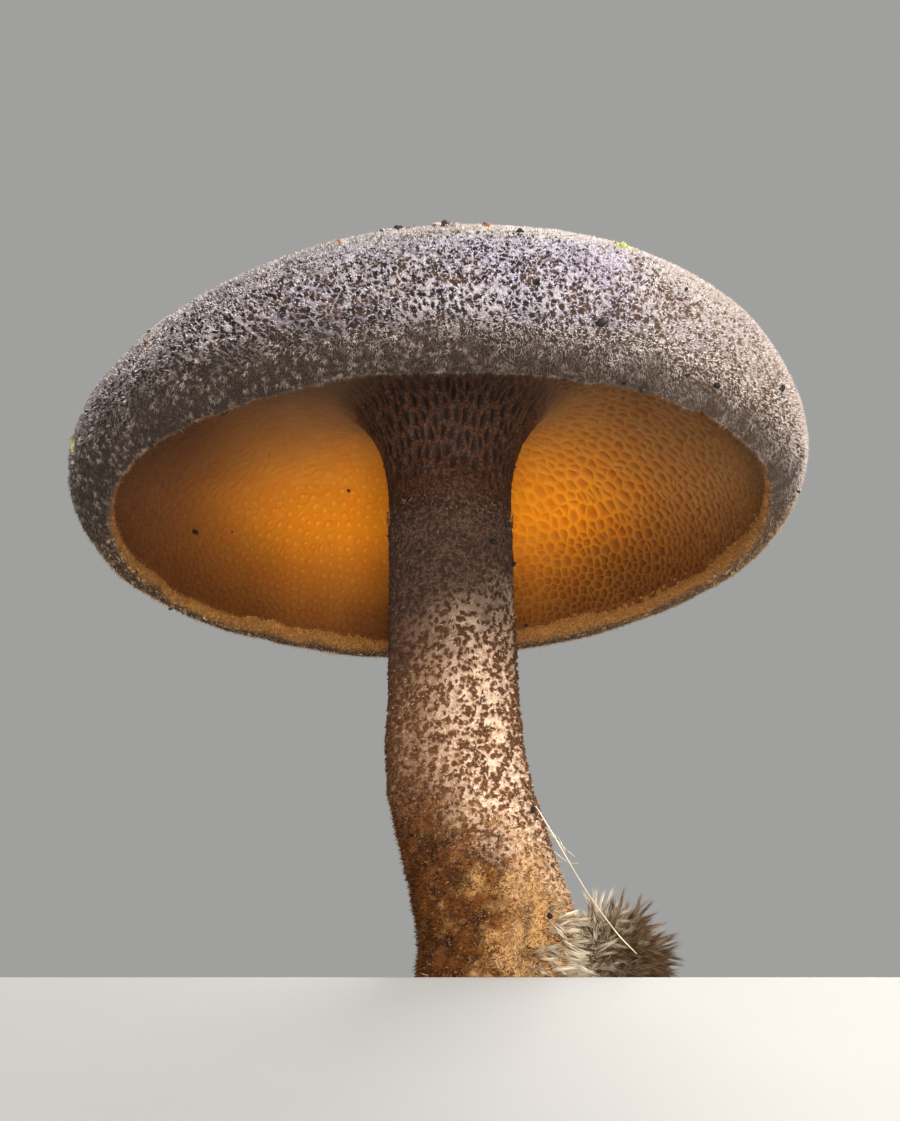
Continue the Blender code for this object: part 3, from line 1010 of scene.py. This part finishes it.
def stem_material():
    n = Nodes("stem_skin")
    grain, grain2 = n.attribute("grain"), n.attribute("grain2")
    wool, dusky_top_and_shade = n.attribute("wool"), n.attribute("dusky_top_and_shade")
    fine = n.noise(8.0, 3.0, 0.65)
    mid = n.noise(2.4, 3.0, 0.6)
    pale = n.mix(n.span(mid, 0.35, 0.7), srgb(240, 212, 186), srgb(172, 130, 96))
    # Painted shade: the pale ground is darker on the left.
    pale = n.mix(n.math("MULTIPLY", n.attribute("left"), 0.85), pale, srgb(134, 93, 61))
    brown = n.mix(n.span(fine, 0.3, 0.75), srgb(62, 36, 21), srgb(122, 80, 48))
    cover = n.math("ADD", n.math("MULTIPLY", grain, 0.9), n.math("MULTIPLY", grain2, 0.4))
    cover = n.math("ADD", cover, n.math("MULTIPLY", n.math("SUBTRACT", fine, 0.5), 0.9))
    mottled = n.mix(n.span(cover, 0.12, 0.6), pale, brown)
    # The upper stem is mauve brown with a fine pale speckle, darkened by painted shade under the cap.
    shade = n.mix(n.span(fine, 0.40, 0.66), srgb(60, 40, 31), srgb(98, 72, 58))
    shade = n.mix(n.span(cover, 0.3, 0.8, 0.0, 0.7), shade, srgb(44, 28, 21))
    colour = n.mix(dusky_top_and_shade, mottled, shade)
    lumps = n.noise(0.9, 3.0, 0.6)
    gold = n.mix(n.span(lumps, 0.36, 0.62), srgb(44, 20, 4), srgb(118, 67, 23))
    gold = n.mix(n.span(mid, 0.5, 0.75, 0.0, 0.4), gold, srgb(174, 120, 62))
    gold = n.mix(n.span(fine, 0.58, 0.8, 0.0, 0.6), gold, srgb(62, 36, 18))
    # Cream patches over the wool, more on the right: partly painted highlight.
    gold = n.mix(n.math("MULTIPLY", n.attribute("cream_and_highlight"), 0.5), gold, srgb(232, 182, 118))
    colour = n.mix(wool, colour, gold)
    n.bump(n.math("ADD", fine, mid), 0.03, 0.6)
    n.shader.inputs["Specular IOR Level"].default_value = 0.2
    return n.finish(colour, 0.85, sss=0.25, radius=(1.0, 0.6, 0.35), scale_mm=0.4)


def stem_map(height, turn):
    """Place in the map of a fibre rooted on the stem."""
    return np.stack([0.02 + 0.96 * (turn % TAU) / TAU, 0.02 + 0.96 * height / STEM_TOP], 1)


def build_stem_scurf():
    """Brown scales and pale flecks of the stem's surface."""
    rng = np.random.default_rng(31)
    want = 56000
    height = rng.random(want * 4) * (STEM_TOP - 1.0)
    turn = rng.random(want * 4) * TAU
    p, out, values = stem_surface(height, turn, 0.0)
    grain, wool, dusky_top_and_shade = values["grain"], values["wool"], values["dusky_top_and_shade"]
    dark = rng.random(len(p)) < 0.5
    chance = np.where(
        dark, (0.06 + 0.94 * grain) * mixed(1.0, 0.35, dusky_top_and_shade), (1 - grain) * 0.6 + 0.05)
    chance = chance * mixed(1.0, 0.45, dusky_top_and_shade) * mixed(1.0, 0.4, wool)
    pick = np.flatnonzero(rng.random(len(p)) < chance)[:want]
    p, out, height, turn, dark = p[pick], out[pick], height[pick], turn[pick], dark[pick]
    n = len(pick)
    swing = rng.uniform(0, TAU, n)
    round_ = np.stack([-np.sin(turn), np.cos(turn), 0 * turn], -1)
    up = np.array((0.0, 0.0, 1.0))
    rise = np.where(rng.random(n) < 0.15, rng.uniform(0.6, 1.6, n), rng.uniform(0.1, 0.6, n))
    lean = unit(
        round_ * np.cos(swing)[:, None] + up * (np.sin(swing) - 0.25)[:, None]
        + out * rise[:, None]
    )
    side = unit(np.cross(lean, out) + 0.3 * rng.normal(0, 1, (n, 3)))
    root = p - lean * 0.04 + out * 0.005
    values = {
        "tone": rng.random(n), "dark": dark.astype(float),
        "wool": values["wool"][pick], "dusky_top_and_shade": values["dusky_top_and_shade"][pick],
        "left": values["left"][pick],
    }
    m = Nodes("stem_scurf")
    tone = m.attribute("tone")
    brown = m.mix(tone, srgb(56, 32, 18), srgb(138, 92, 56))
    # Painted shade under the cap darkens the scales and flecks there.
    brown = m.mix(m.attribute("dusky_top_and_shade"), brown, srgb(54, 36, 28))
    pale = m.mix(tone, srgb(178, 142, 108), srgb(255, 236, 214))
    # Painted shade: the pale flecks are darker on the left.
    pale = m.mix(m.attribute("left"), pale, m.mix(tone, srgb(136, 100, 74), srgb(204, 172, 144)))
    dusky = m.mix(tone, srgb(60, 41, 32), srgb(122, 94, 77))
    golden = m.mix(tone, srgb(72, 40, 14), srgb(176, 124, 68))
    bright = m.mix(m.attribute("dusky_top_and_shade"), m.mix(m.attribute("wool"), pale, golden), dusky)
    material = m.finish(m.mix(m.attribute("dark"), bright, brown), 0.85)
    return blades(
        "stem_scurf", root, lean, side, rng.uniform(0.10, 0.19, n),
        rng.uniform(0.045, 0.085, n), stem_map(height, turn), 0.0016, values, material,
    )


def build_foot_wool():
    """The woolly coat of the foot, and the hairs along the ground."""
    rng = np.random.default_rng(37)
    want = 24000
    height = rng.random(want * 3) ** 1.25 * 12.0
    turn = rng.random(want * 3) * TAU
    p, out, values = stem_surface(height, turn)
    clump = smooth(0.36, 0.62, fractal(p / 0.45, 330, 2))
    chance = values["wool"] * (0.25 + 0.75 * clump) + 0.05
    pick = np.flatnonzero(rng.random(len(p)) < chance)[:want]
    p, out, height, turn = p[pick], out[pick], height[pick], turn[pick]
    n = len(pick)
    round_ = np.stack([-np.sin(turn), np.cos(turn), 0 * turn], -1)
    up = np.array((0.0, 0.0, 1.0))
    patchy = smooth(0.40, 0.62, fractal(p / 0.8, 335, 2))
    fringe = (height < 0.3 + 1.3 * patchy) & (rng.random(n) < 0.15 + 0.65 * patchy)
    lean = unit(
        out * rng.uniform(0.35, 1.3, n)[:, None] + round_ * rng.normal(0, 0.55, n)[:, None]
        + up * (rng.normal(-0.25, 0.5, n) - 0.35 * fringe)[:, None]
    )
    side = unit(np.cross(lean, out) + 0.4 * rng.normal(0, 1, (n, 3)))
    length = rng.uniform(0.16, 0.34, n) * np.where(fringe, rng.uniform(1.0, 2.3, n), 1.0)
    curl = unit(rng.normal(0, 1, (n, 3)) + up * np.where(fringe, -0.8, -0.2)[:, None]) * 0.5
    root = p - out * 0.02
    # Paler towards the right: partly painted highlight.
    pale = smooth(0.46, 0.70, fractal(p / 0.9, 340, 3) + 0.085 * (p[:, 0] - stem_at(height)[0] - 0.3))
    tip = root + lean * (length * 0.92)[:, None] + curl * (length * 0.4)[:, None]
    root[:, 2] += np.maximum(0, 0.02 - tip[:, 2])
    m = Nodes("foot_wool")
    tone = m.attribute("tone")
    golden = m.mix(tone, srgb(40, 18, 3), srgb(126, 72, 24))
    ivory = m.mix(tone, srgb(128, 80, 38), srgb(248, 216, 168))
    share = m.math("MAXIMUM", m.attribute("pale"), m.attribute("fringe"))
    dirty = m.mix(m.span(tone, 0.86, 0.9), m.mix(share, golden, ivory), srgb(84, 52, 36))
    m.shader.inputs["Specular IOR Level"].default_value = 0.15
    material = m.finish(dirty, 0.8)
    values = {"tone": rng.random(n), "pale": pale, "fringe": 0.85 * fringe}
    return blades(
        "foot_wool", root, lean, side, length, rng.uniform(0.028, 0.05, n),
        stem_map(height * 2.0, turn), 0.0022, values, material, curl=curl,
    )


# ------------------------------------------------------------- mycelium tuft
def lobe_place(direction):
    """Point of the lobe's skin in a direction, with a lumpy surface."""
    p = LOBE_CENTRE + LOBE_RADII * direction
    lump = 0.42 * (fractal(p / 1.1, 400, 3) - 0.5)
    return p + direction * lump[:, None]


def build_lobe():
    rows, columns = 60, 96
    polar = np.linspace(0.02, math.pi - 0.02, rows)
    turn = np.linspace(0, TAU, columns, endpoint=False)
    pp, tt = (a.ravel() for a in np.meshgrid(polar, turn, indexing="ij"))
    direction = np.stack([np.sin(pp) * np.cos(tt), np.sin(pp) * np.sin(tt), np.cos(pp)], 1)
    v = lobe_place(direction)
    v[:, 2] = np.maximum(v[:, 2], 0.0)
    faces = grid_faces(rows, columns, closed=True)
    m = Nodes("foot_lobe")
    fine, mid = m.noise(6.0, 3.0, 0.6), m.noise(1.8, 3.0, 0.6)
    tone = m.mix(m.span(mid, 0.35, 0.7), srgb(62, 41, 22), srgb(104, 76, 46))
    tone = m.mix(m.span(fine, 0.5, 0.8, 0.0, 0.7), tone, srgb(44, 29, 17))
    m.bump(fine, 0.04, 0.7)
    material = m.finish(tone, 0.9, sss=0.2, radius=(1, 0.7, 0.45), scale_mm=0.4)
    return new_mesh("foot_lobe", v, [faces], material=material)


def build_tuft():
    """Silvery spikes and fine down that stand out from the lobe."""
    rng = np.random.default_rng(41)
    roots, leans, lengths, widths, curls, tones, greys = [], [], [], [], [], [], []
    up = np.array((0.0, 0.0, 1.0))

    def spike(base, outward, size, spread, grey_and_shade):
        """A pointed bundle: many hyphae that meet in one tip."""
        bend = unit(outward + 0.42 * rng.normal(0, 1, 3) + np.array((0.25, -0.12, -0.30)))
        tip = base + bend * size
        tip[2] = max(tip[2], 0.1)
        cross = unit(np.cross(bend, rng.normal(0, 1, 3)))
        other = np.cross(bend, cross)
        shade = rng.uniform(0.3, 1.0)
        for _ in range(rng.integers(9, 15)):
            around = rng.uniform(0, TAU)
            out = spread * math.sqrt(rng.random())
            start = base - bend * 0.08
            start = start + (cross * math.cos(around) + other * math.sin(around)) * out
            way = tip + 0.05 * rng.normal(0, 1, 3) - start
            roots.append(start)
            lengths.append(np.linalg.norm(way))
            leans.append(unit(way))
            curls.append(unit(rng.normal(0, 1, 3)) * 0.12)
            widths.append(rng.uniform(0.035, 0.065))
            tones.append(shade * rng.uniform(0.75, 1.0))
            greys.append(grey_and_shade)

    for k in range(340):
        direction = unit(rng.normal(0, 1, 3) + np.array((0.75, -0.55, -0.15)))
        base = lobe_place(direction[None])[0]
        if direction[0] < -0.35 or direction[2] < -0.62 or base[2] < 0.12:
            continue
        uneven = 0.35 + 1.3 * float(fractal(base[None] / 1.3, 420, 2)[0])
        # Spikes on the right are ashen, partly with painted shade.
        spike(base, unit(direction / LOBE_RADII), rng.uniform(0.8, 1.65) * uneven,
              rng.uniform(0.10, 0.20), float(smooth(4.2, 5.9, base[0] + 0.5 * rng.normal())))
    # They climb a little way onto the right of the foot.
    for k in range(230):
        turn = math.radians(rng.normal(-22, 20))
        height = 0.15 + 4.0 * rng.random() ** 1.4
        at, out, _ = stem_surface(np.array([height]), np.array([turn]))
        way = unit(out[0] + np.array((0.9, -0.15, -0.35 + 0.12 * height)))
        spike(at[0] - 0.06 * out[0], way, rng.uniform(0.6, 1.45), rng.uniform(0.09, 0.17), 0.0)
    # Fine down all over, longest on the right, where painted shade darkens it.
    n = 6000
    direction = unit(rng.normal(0, 1, (n, 3)) + np.array((0.45, -0.35, 0.15)))
    base = lobe_place(direction)
    keep = (base[:, 2] > 0.1) & (direction[:, 0] > -0.55)
    direction, base = direction[keep], base[keep]
    n = len(base)
    right = smooth(4.4, 6.6, base[:, 0])
    lean = unit(direction / LOBE_RADII * 3 + 0.45 * rng.normal(0, 1, (n, 3)) - up * 0.1)
    length = rng.uniform(0.4, 0.9, n) * mixed(0.8, 1.45, right)
    root = np.vstack([np.array(roots), base - direction * 0.05])
    lean = np.vstack([np.array(leans), lean])
    length = np.concatenate([lengths, length])
    curl = np.vstack([np.array(curls), unit(rng.normal(0, 1, (n, 3))) * 0.5])
    width = np.concatenate([widths, rng.uniform(0.014, 0.028, n)])
    tone = np.concatenate([tones, rng.uniform(0.3, 1.0, n)])
    grey_and_shade = np.concatenate([greys, right])
    tip = root + lean * (length * 0.92)[:, None] + curl * (length * 0.4)[:, None]
    lean[:, 2] += np.maximum(0, 0.03 - tip[:, 2]) / length
    side = unit(np.cross(lean, rng.normal(0, 1, (len(root), 3))))
    m = Nodes("mycelium_tuft")
    tone_, grey_and_shade_, along = m.attribute("tone"), m.attribute("grey_and_shade"), m.attribute("tip")
    ivory = m.mix(tone_, srgb(114, 80, 44), srgb(255, 244, 220))
    # Ashen brown on the right: partly painted shade.
    ashen = m.mix(tone_, srgb(30, 16, 6), srgb(114, 80, 44))
    colour = m.mix(m.math("MULTIPLY", grey_and_shade_, 0.95), ivory, ashen)
    colour = m.mix(m.span(along, 0.0, 0.6, 0.65, 0.0), colour, srgb(104, 76, 48))
    m.shader.inputs["Specular IOR Level"].default_value = 0.25
    material = m.finish(colour, 0.5)
    direction = unit(root - LOBE_CENTRE)
    uv = 0.5 + 0.47 * np.stack([
        np.arctan2(direction[:, 1], direction[:, 0]) / math.pi, direction[:, 2]], 1)
    return blades(
        "mycelium_tuft", root, lean, side, length, width, uv, 0.0035,
        {"tone": tone, "grey_and_shade": grey_and_shade}, material, curl=curl,
    )


# ------------------------------------------------------------- loose things
# Where grains lie, in millimetres, and how wide they are.
BLACK_GRAINS = (
    (-12.47, 0.79, 29.36, 0.16), (-15.20, -8.33, 23.97, 0.14), (-14.10, 7.57, 26.01, 0.14),
    (-16.66, 5.03, 23.00, 0.11), (-15.17, 9.25, 22.78, 0.11), (-12.35, 8.81, 26.54, 0.07),
    (-6.79, 9.36, 28.92, 0.11), (-4.80, -0.57, 26.05, 0.11), (-4.05, -1.85, 24.99, 0.09),
    (-4.19, -1.58, 23.61, 0.09), (-3.68, -2.20, 22.73, 0.07), (-3.18, -2.54, 25.25, 0.18),
    (-4.70, -0.30, 22.69, 0.09), (-3.26, -2.39, 21.10, 0.09), (-1.67, -2.68, 19.77, 0.07),
    (-0.03, -2.07, 21.76, 0.14), (0.34, -1.57, 23.91, 0.07), (0.90, -1.58, 26.83, 0.11),
    (1.01, -0.27, 26.07, 0.11), (0.94, -0.02, 21.42, 0.14), (1.83, 14.21, 23.60, 0.11),
    (1.25, -12.79, 32.27, 0.18), (1.94, -15.87, 28.57, 0.14), (4.68, -15.45, 26.66, 0.21),
    (8.44, -11.95, 29.83, 0.16), (6.62, -12.95, 24.62, 0.17), (5.72, -13.55, 24.77, 0.11),
    (8.53, -12.53, 25.53, 0.11), (9.77, -11.33, 25.56, 0.18), (12.95, -7.41, 27.02, 0.18),
    (12.28, -7.36, 25.24, 0.09), (14.10, -2.71, 25.72, 0.11), (14.18, 1.09, 25.47, 0.11),
    (3.15, -2.29, 2.91, 0.14), (2.43, -2.88, 3.61, 0.14), (2.61, -1.37, 6.46, 0.11),
    (-3.11, -2.39, 9.22, 0.11), (-3.55, -1.64, 7.82, 0.09), (1.75, -1.60, 8.95, 0.17),
    (-9.80, 11.20, 29.40, 0.13), (4.10, 12.90, 29.60, 0.16), (9.60, 8.10, 30.20, 0.12),
    (-2.40, 4.20, 35.50, 0.15), (-14.60, 6.80, 28.60, 0.12), (0.60, 2.80, 14.30, 0.10),
)
CRUMBS = (
    (-4.18, -11.14, 33.12, 0.20), (-2.12, -11.35, 33.17, 0.26), (-3.69, -11.50, 33.00, 0.16),
    (-4.68, -10.93, 33.16, 0.16), (-1.63, -11.87, 32.93, 0.15), (-1.90, -11.38, 33.25, 0.20),
    (-2.50, -10.90, 33.35, 0.18),
)
RUST_FLECKS = (
    (-0.29, -11.37, 33.20, 0.14), (-1.55, -13.32, 31.88, 0.09), (-15.32, -8.77, 29.13, 0.12),
    (-15.31, -10.29, 27.94, 0.10), (-6.81, -11.62, 32.21, 0.08), (-0.12, -12.86, 32.29, 0.08),
)
GREEN_FLECKS = (
    (-19.09, -2.91, 26.39, 0.15), (5.89, -10.80, 32.44, 0.19), (-19.06, -3.21, 25.96, 0.12),
    (5.55, -10.95, 32.45, 0.15),
)


def on_surface(point, trees):
    """The nearest place on any of the skins, and the way out of it."""
    best = None
    for tree in trees:
        at, normal, _, far = tree.find_nearest(Vector(point))
        if best is None or far < best[2]:
            best = (np.array(at), np.array(normal), far)
    return best[0], best[1]


def build_grains(name, spots, seed, trees, material, lumps=1, rough=0.35, sharp=1.0):
    """Small irregular grains that sit on the skin, lumps of them to a spot."""
    ball = bmesh.new()
    bmesh.ops.create_icosphere(ball, subdivisions=2, radius=1.0)
    shape = np.array([v.co[:] for v in ball.verts])
    tris = np.array([[v.index for v in f.verts] for f in ball.faces])
    ball.free()
    rng = np.random.default_rng(seed)
    points, faces, tones, count = [], [], [], 0
    for x, y, z, size in spots:
        at, normal = on_surface((x, y, z), trees)
        for k in range(lumps):
            basis = np.linalg.qr(rng.normal(0, 1, (3, 3)))[0]
            scale = size * rng.uniform(0.55, 1.1, 3) * (1 if k == 0 else rng.uniform(0.35, 0.75))
            lump = 1 + rough * (noise(shape * 1.7 + 20 * rng.random(3), seed) - 0.5) * 2
            lump = np.round(lump * 6) / 6 * (1 - 1 / (1 + sharp)) + lump / (1 + sharp)
            grain = (shape * lump[:, None] * scale) @ basis
            shift = rng.normal(0, 0.9 * size, 3) if k else 0.0
            centre, out = (at, normal) if k == 0 else on_surface(at + shift, trees)
            points.append(grain + centre + out * (0.62 * scale.min() + 0.05))
            faces.append(tris + count)
            tones.append(np.full(len(shape), rng.random()))
            count += len(shape)
    return new_mesh(
        name, np.vstack(points), [np.vstack(faces)], values={"tone": np.concatenate(tones)},
        material=material, flat=True,
    )


def grain_material(name, dark, light, rough=0.6):
    n = Nodes(name)
    tone = n.math("ADD", n.attribute("tone"), n.math("SUBTRACT", n.noise(9.0, 3.0, 0.6), 0.5))
    return n.finish(n.mix(n.span(tone, 0.1, 0.9), dark, light), rough)


def build_stray_fibre():
    """A stray plant fibre that leans from the stem over the tuft, and a few
    threads of mycelium beside it."""
    lines = [
        (((1.95, -2.05, 9.05), (2.90, -2.75, 7.10), (4.15, -3.05, 4.75), (5.45, -2.75, 2.95),
          (6.35, -2.55, 2.00)), 0.032, 0.6),
        (((2.35, -1.30, 8.30), (2.95, -1.45, 7.75), (3.25, -1.70, 7.00)), 0.014, 0.5),
        (((2.55, -1.10, 8.10), (3.25, -1.20, 7.35), (3.70, -1.30, 6.90)), 0.012, 0.6),
        (((2.75, -0.90, 7.30), (3.40, -1.00, 6.75), (3.85, -1.35, 6.60)), 0.012, 0.4),
    ]
    points, faces, tones, base = [], [], [], 0
    for stations, thick, tone in lines:
        line = curve_through(stations, 14)
        way = unit(np.gradient(line, axis=0))
        one = unit(np.cross(way, np.array((0.0, 1.0, 0.15))))
        two = np.cross(way, one)
        n = len(line)
        taper = thick * (0.75 + 0.25 * np.sin(np.linspace(0, 9, n))) * smooth(-0.2, 0.15, np.linspace(1, 0, n))
        for k in range(6):
            a = TAU * k / 6
            points.append(line + (one * math.cos(a) + two * math.sin(a)) * taper[:, None])
            tones.append(np.full(n, tone))
        i = np.arange(n - 1)
        for k in range(6):
            j = (k + 1) % 6
            faces.append(np.stack([i + k * n, i + 1 + k * n, i + 1 + j * n, i + j * n], 1) + base)
        base += 6 * n
    m = Nodes("plant_fibre")
    tone = m.math("ADD", m.attribute("tone"), m.math("SUBTRACT", m.noise(1.2, 2.0), 0.5))
    material = m.finish(m.mix(m.span(tone, 0.2, 1.0), srgb(244, 234, 208), srgb(214, 188, 142)), 0.45)
    return new_mesh(
        "stray_fibre", np.vstack(points), [np.vstack(faces)],
        values={"tone": np.concatenate(tones)}, material=material,
    )


cap_skin = build_cap_skin()
pore_layer = build_pores()
stem = build_stem()

cap_fuzz_front = build_cap_fuzz("cap_fuzz_front", 21, 196000, False)
cap_fuzz_back = build_cap_fuzz("cap_fuzz_back", 22, 120000, True)
stem_scurf = build_stem_scurf()
foot_wool = build_foot_wool()
foot_lobe = build_lobe()
mycelium_tuft = build_tuft()

skins = []
for skin in (cap_skin, pore_layer, stem, foot_lobe):
    at = np.empty(3 * len(skin.data.vertices), np.float32)
    skin.data.vertices.foreach_get("co", at)
    skins.append(BVHTree.FromPolygons(
        (at.reshape(-1, 3) / MM).tolist(), [f.vertices[:] for f in skin.data.polygons]))

dirt_specks = build_grains(
    "dirt_specks", BLACK_GRAINS, 51, skins,
    grain_material("dark_grit", srgb(20, 14, 13), srgb(52, 40, 38), 0.5))
cap_crumbs = build_grains(
    "cap_crumbs", CRUMBS, 52, skins,
    grain_material("crumb", srgb(48, 34, 32), srgb(206, 190, 186)), lumps=6, rough=0.6)
rust_flecks = build_grains(
    "rust_flecks", RUST_FLECKS, 53, skins,
    grain_material("rust", srgb(84, 38, 24), srgb(168, 92, 44)), lumps=4, rough=0.8)
green_flecks = build_grains(
    "green_flecks", GREEN_FLECKS, 54, skins,
    grain_material("algae", srgb(140, 150, 78), srgb(214, 220, 156)), lumps=9, rough=0.9)
stray_fibre = build_stray_fibre()

for piece in (
    cap_skin, cap_fuzz_front, cap_fuzz_back, pore_layer, stem, stem_scurf,
    foot_wool, foot_lobe, mycelium_tuft, dirt_specks, cap_crumbs, rust_flecks,
    green_flecks, stray_fibre,
):
    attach(piece, "root")
    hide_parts("fruit_body")


# ------------------------------------------------------------ floor and light
def build_floor():
    """A pale board, level under the foot and behind it, that bends down a
    little in front, because the camera looks up at the cap from below."""
    start, radius, slope, back, half, front = -4.2, 10.0, math.radians(25), 400.0, 400.0, 600.0
    line = [(back, 0.0), (40.0, 0.0)]
    for t in np.linspace(0, slope, 16):
        line.append((start - radius * math.sin(t), -radius + radius * math.cos(t)))
    y, z = line[-1]
    line.append((y - front * math.cos(slope), z - front * math.sin(slope)))
    line = np.array(line)
    n = len(line)
    v = np.vstack([
        np.stack([np.full(n, x), line[:, 0], line[:, 1]], 1) for x in (-half, half)
    ])
    k = np.arange(n - 1)
    faces = np.stack([k, k + 1, k + 1 + n, k + n], 1)
    m = Nodes("pale_board")
    tone = m.mix(m.span(m.noise(0.02, 2.0), 0.3, 0.7), (0.40, 0.396, 0.386), (0.43, 0.426, 0.416))
    mat = m.finish(tone, 0.75)
    return new_mesh("floor", v, [faces], material=mat)


floor = build_floor()


def aim(ob, target):
    ob.rotation_euler = (Vector(target) - ob.location).to_track_quat("-Z", "Y").to_euler()


def soft_light(name, place, target, size, power, colour=(1, 1, 1)):
    data = bpy.data.lights.new(name, "AREA")
    data.shape = "DISK"
    data.size = size * MM
    data.energy = power
    data.color = colour
    ob = bpy.data.objects.new(name, data)
    ob.visible_camera = False
    ob.location = [c * MM for c in place]
    bpy.context.scene.collection.objects.link(ob)
    aim(ob, [c * MM for c in target])
    return ob


middle = (-1.9, 0.0, 20.0)
soft_light("key", (165, -165, 205), (-1, 0, 26), 110, 0.96, (1.0, 0.98, 0.95))
soft_light("fill", (-240, -160, 90), middle, 200, 0.05, (0.95, 0.96, 1.0))
soft_light("back", (60, 220, 190), (-2, 2, 30), 120, 0.75, (1.0, 0.95, 0.88))
soft_light("under", (8, -225, -42), (-2, 4, 26), 60, 0.46, (1.0, 0.95, 0.88))

world = bpy.data.worlds.new("studio")
world.use_nodes = True
world.node_tree.nodes["Background"].inputs["Color"].default_value = (0.80, 0.80, 0.78, 1)
world.node_tree.nodes["Background"].inputs["Strength"].default_value = 0.44
bpy.context.scene.world = world

# --------------------------------------------------------------------- camera
VIEW_RISE = math.radians(21.0)
VIEW_DISTANCE = 250.0
target = Vector((-1.9, 0.0, 21.6)) * MM
towards = Vector((0.0, math.cos(VIEW_RISE), math.sin(VIEW_RISE)))
cam_data = bpy.data.cameras.new("camera")
cam_data.sensor_width = 36.0
cam_data.lens = 36.0 * (VIEW_DISTANCE / 0.0459) / 1121
cam_data.clip_start = 0.005
cam_data.clip_end = 20.0
camera = bpy.data.objects.new("camera", cam_data)
camera.location = target - towards * VIEW_DISTANCE * MM
bpy.context.scene.collection.objects.link(camera)
camera.rotation_euler = towards.to_track_quat("-Z", "Y").to_euler()
bpy.context.scene.camera = camera
bpy.context.scene.view_settings.view_transform = "Standard"
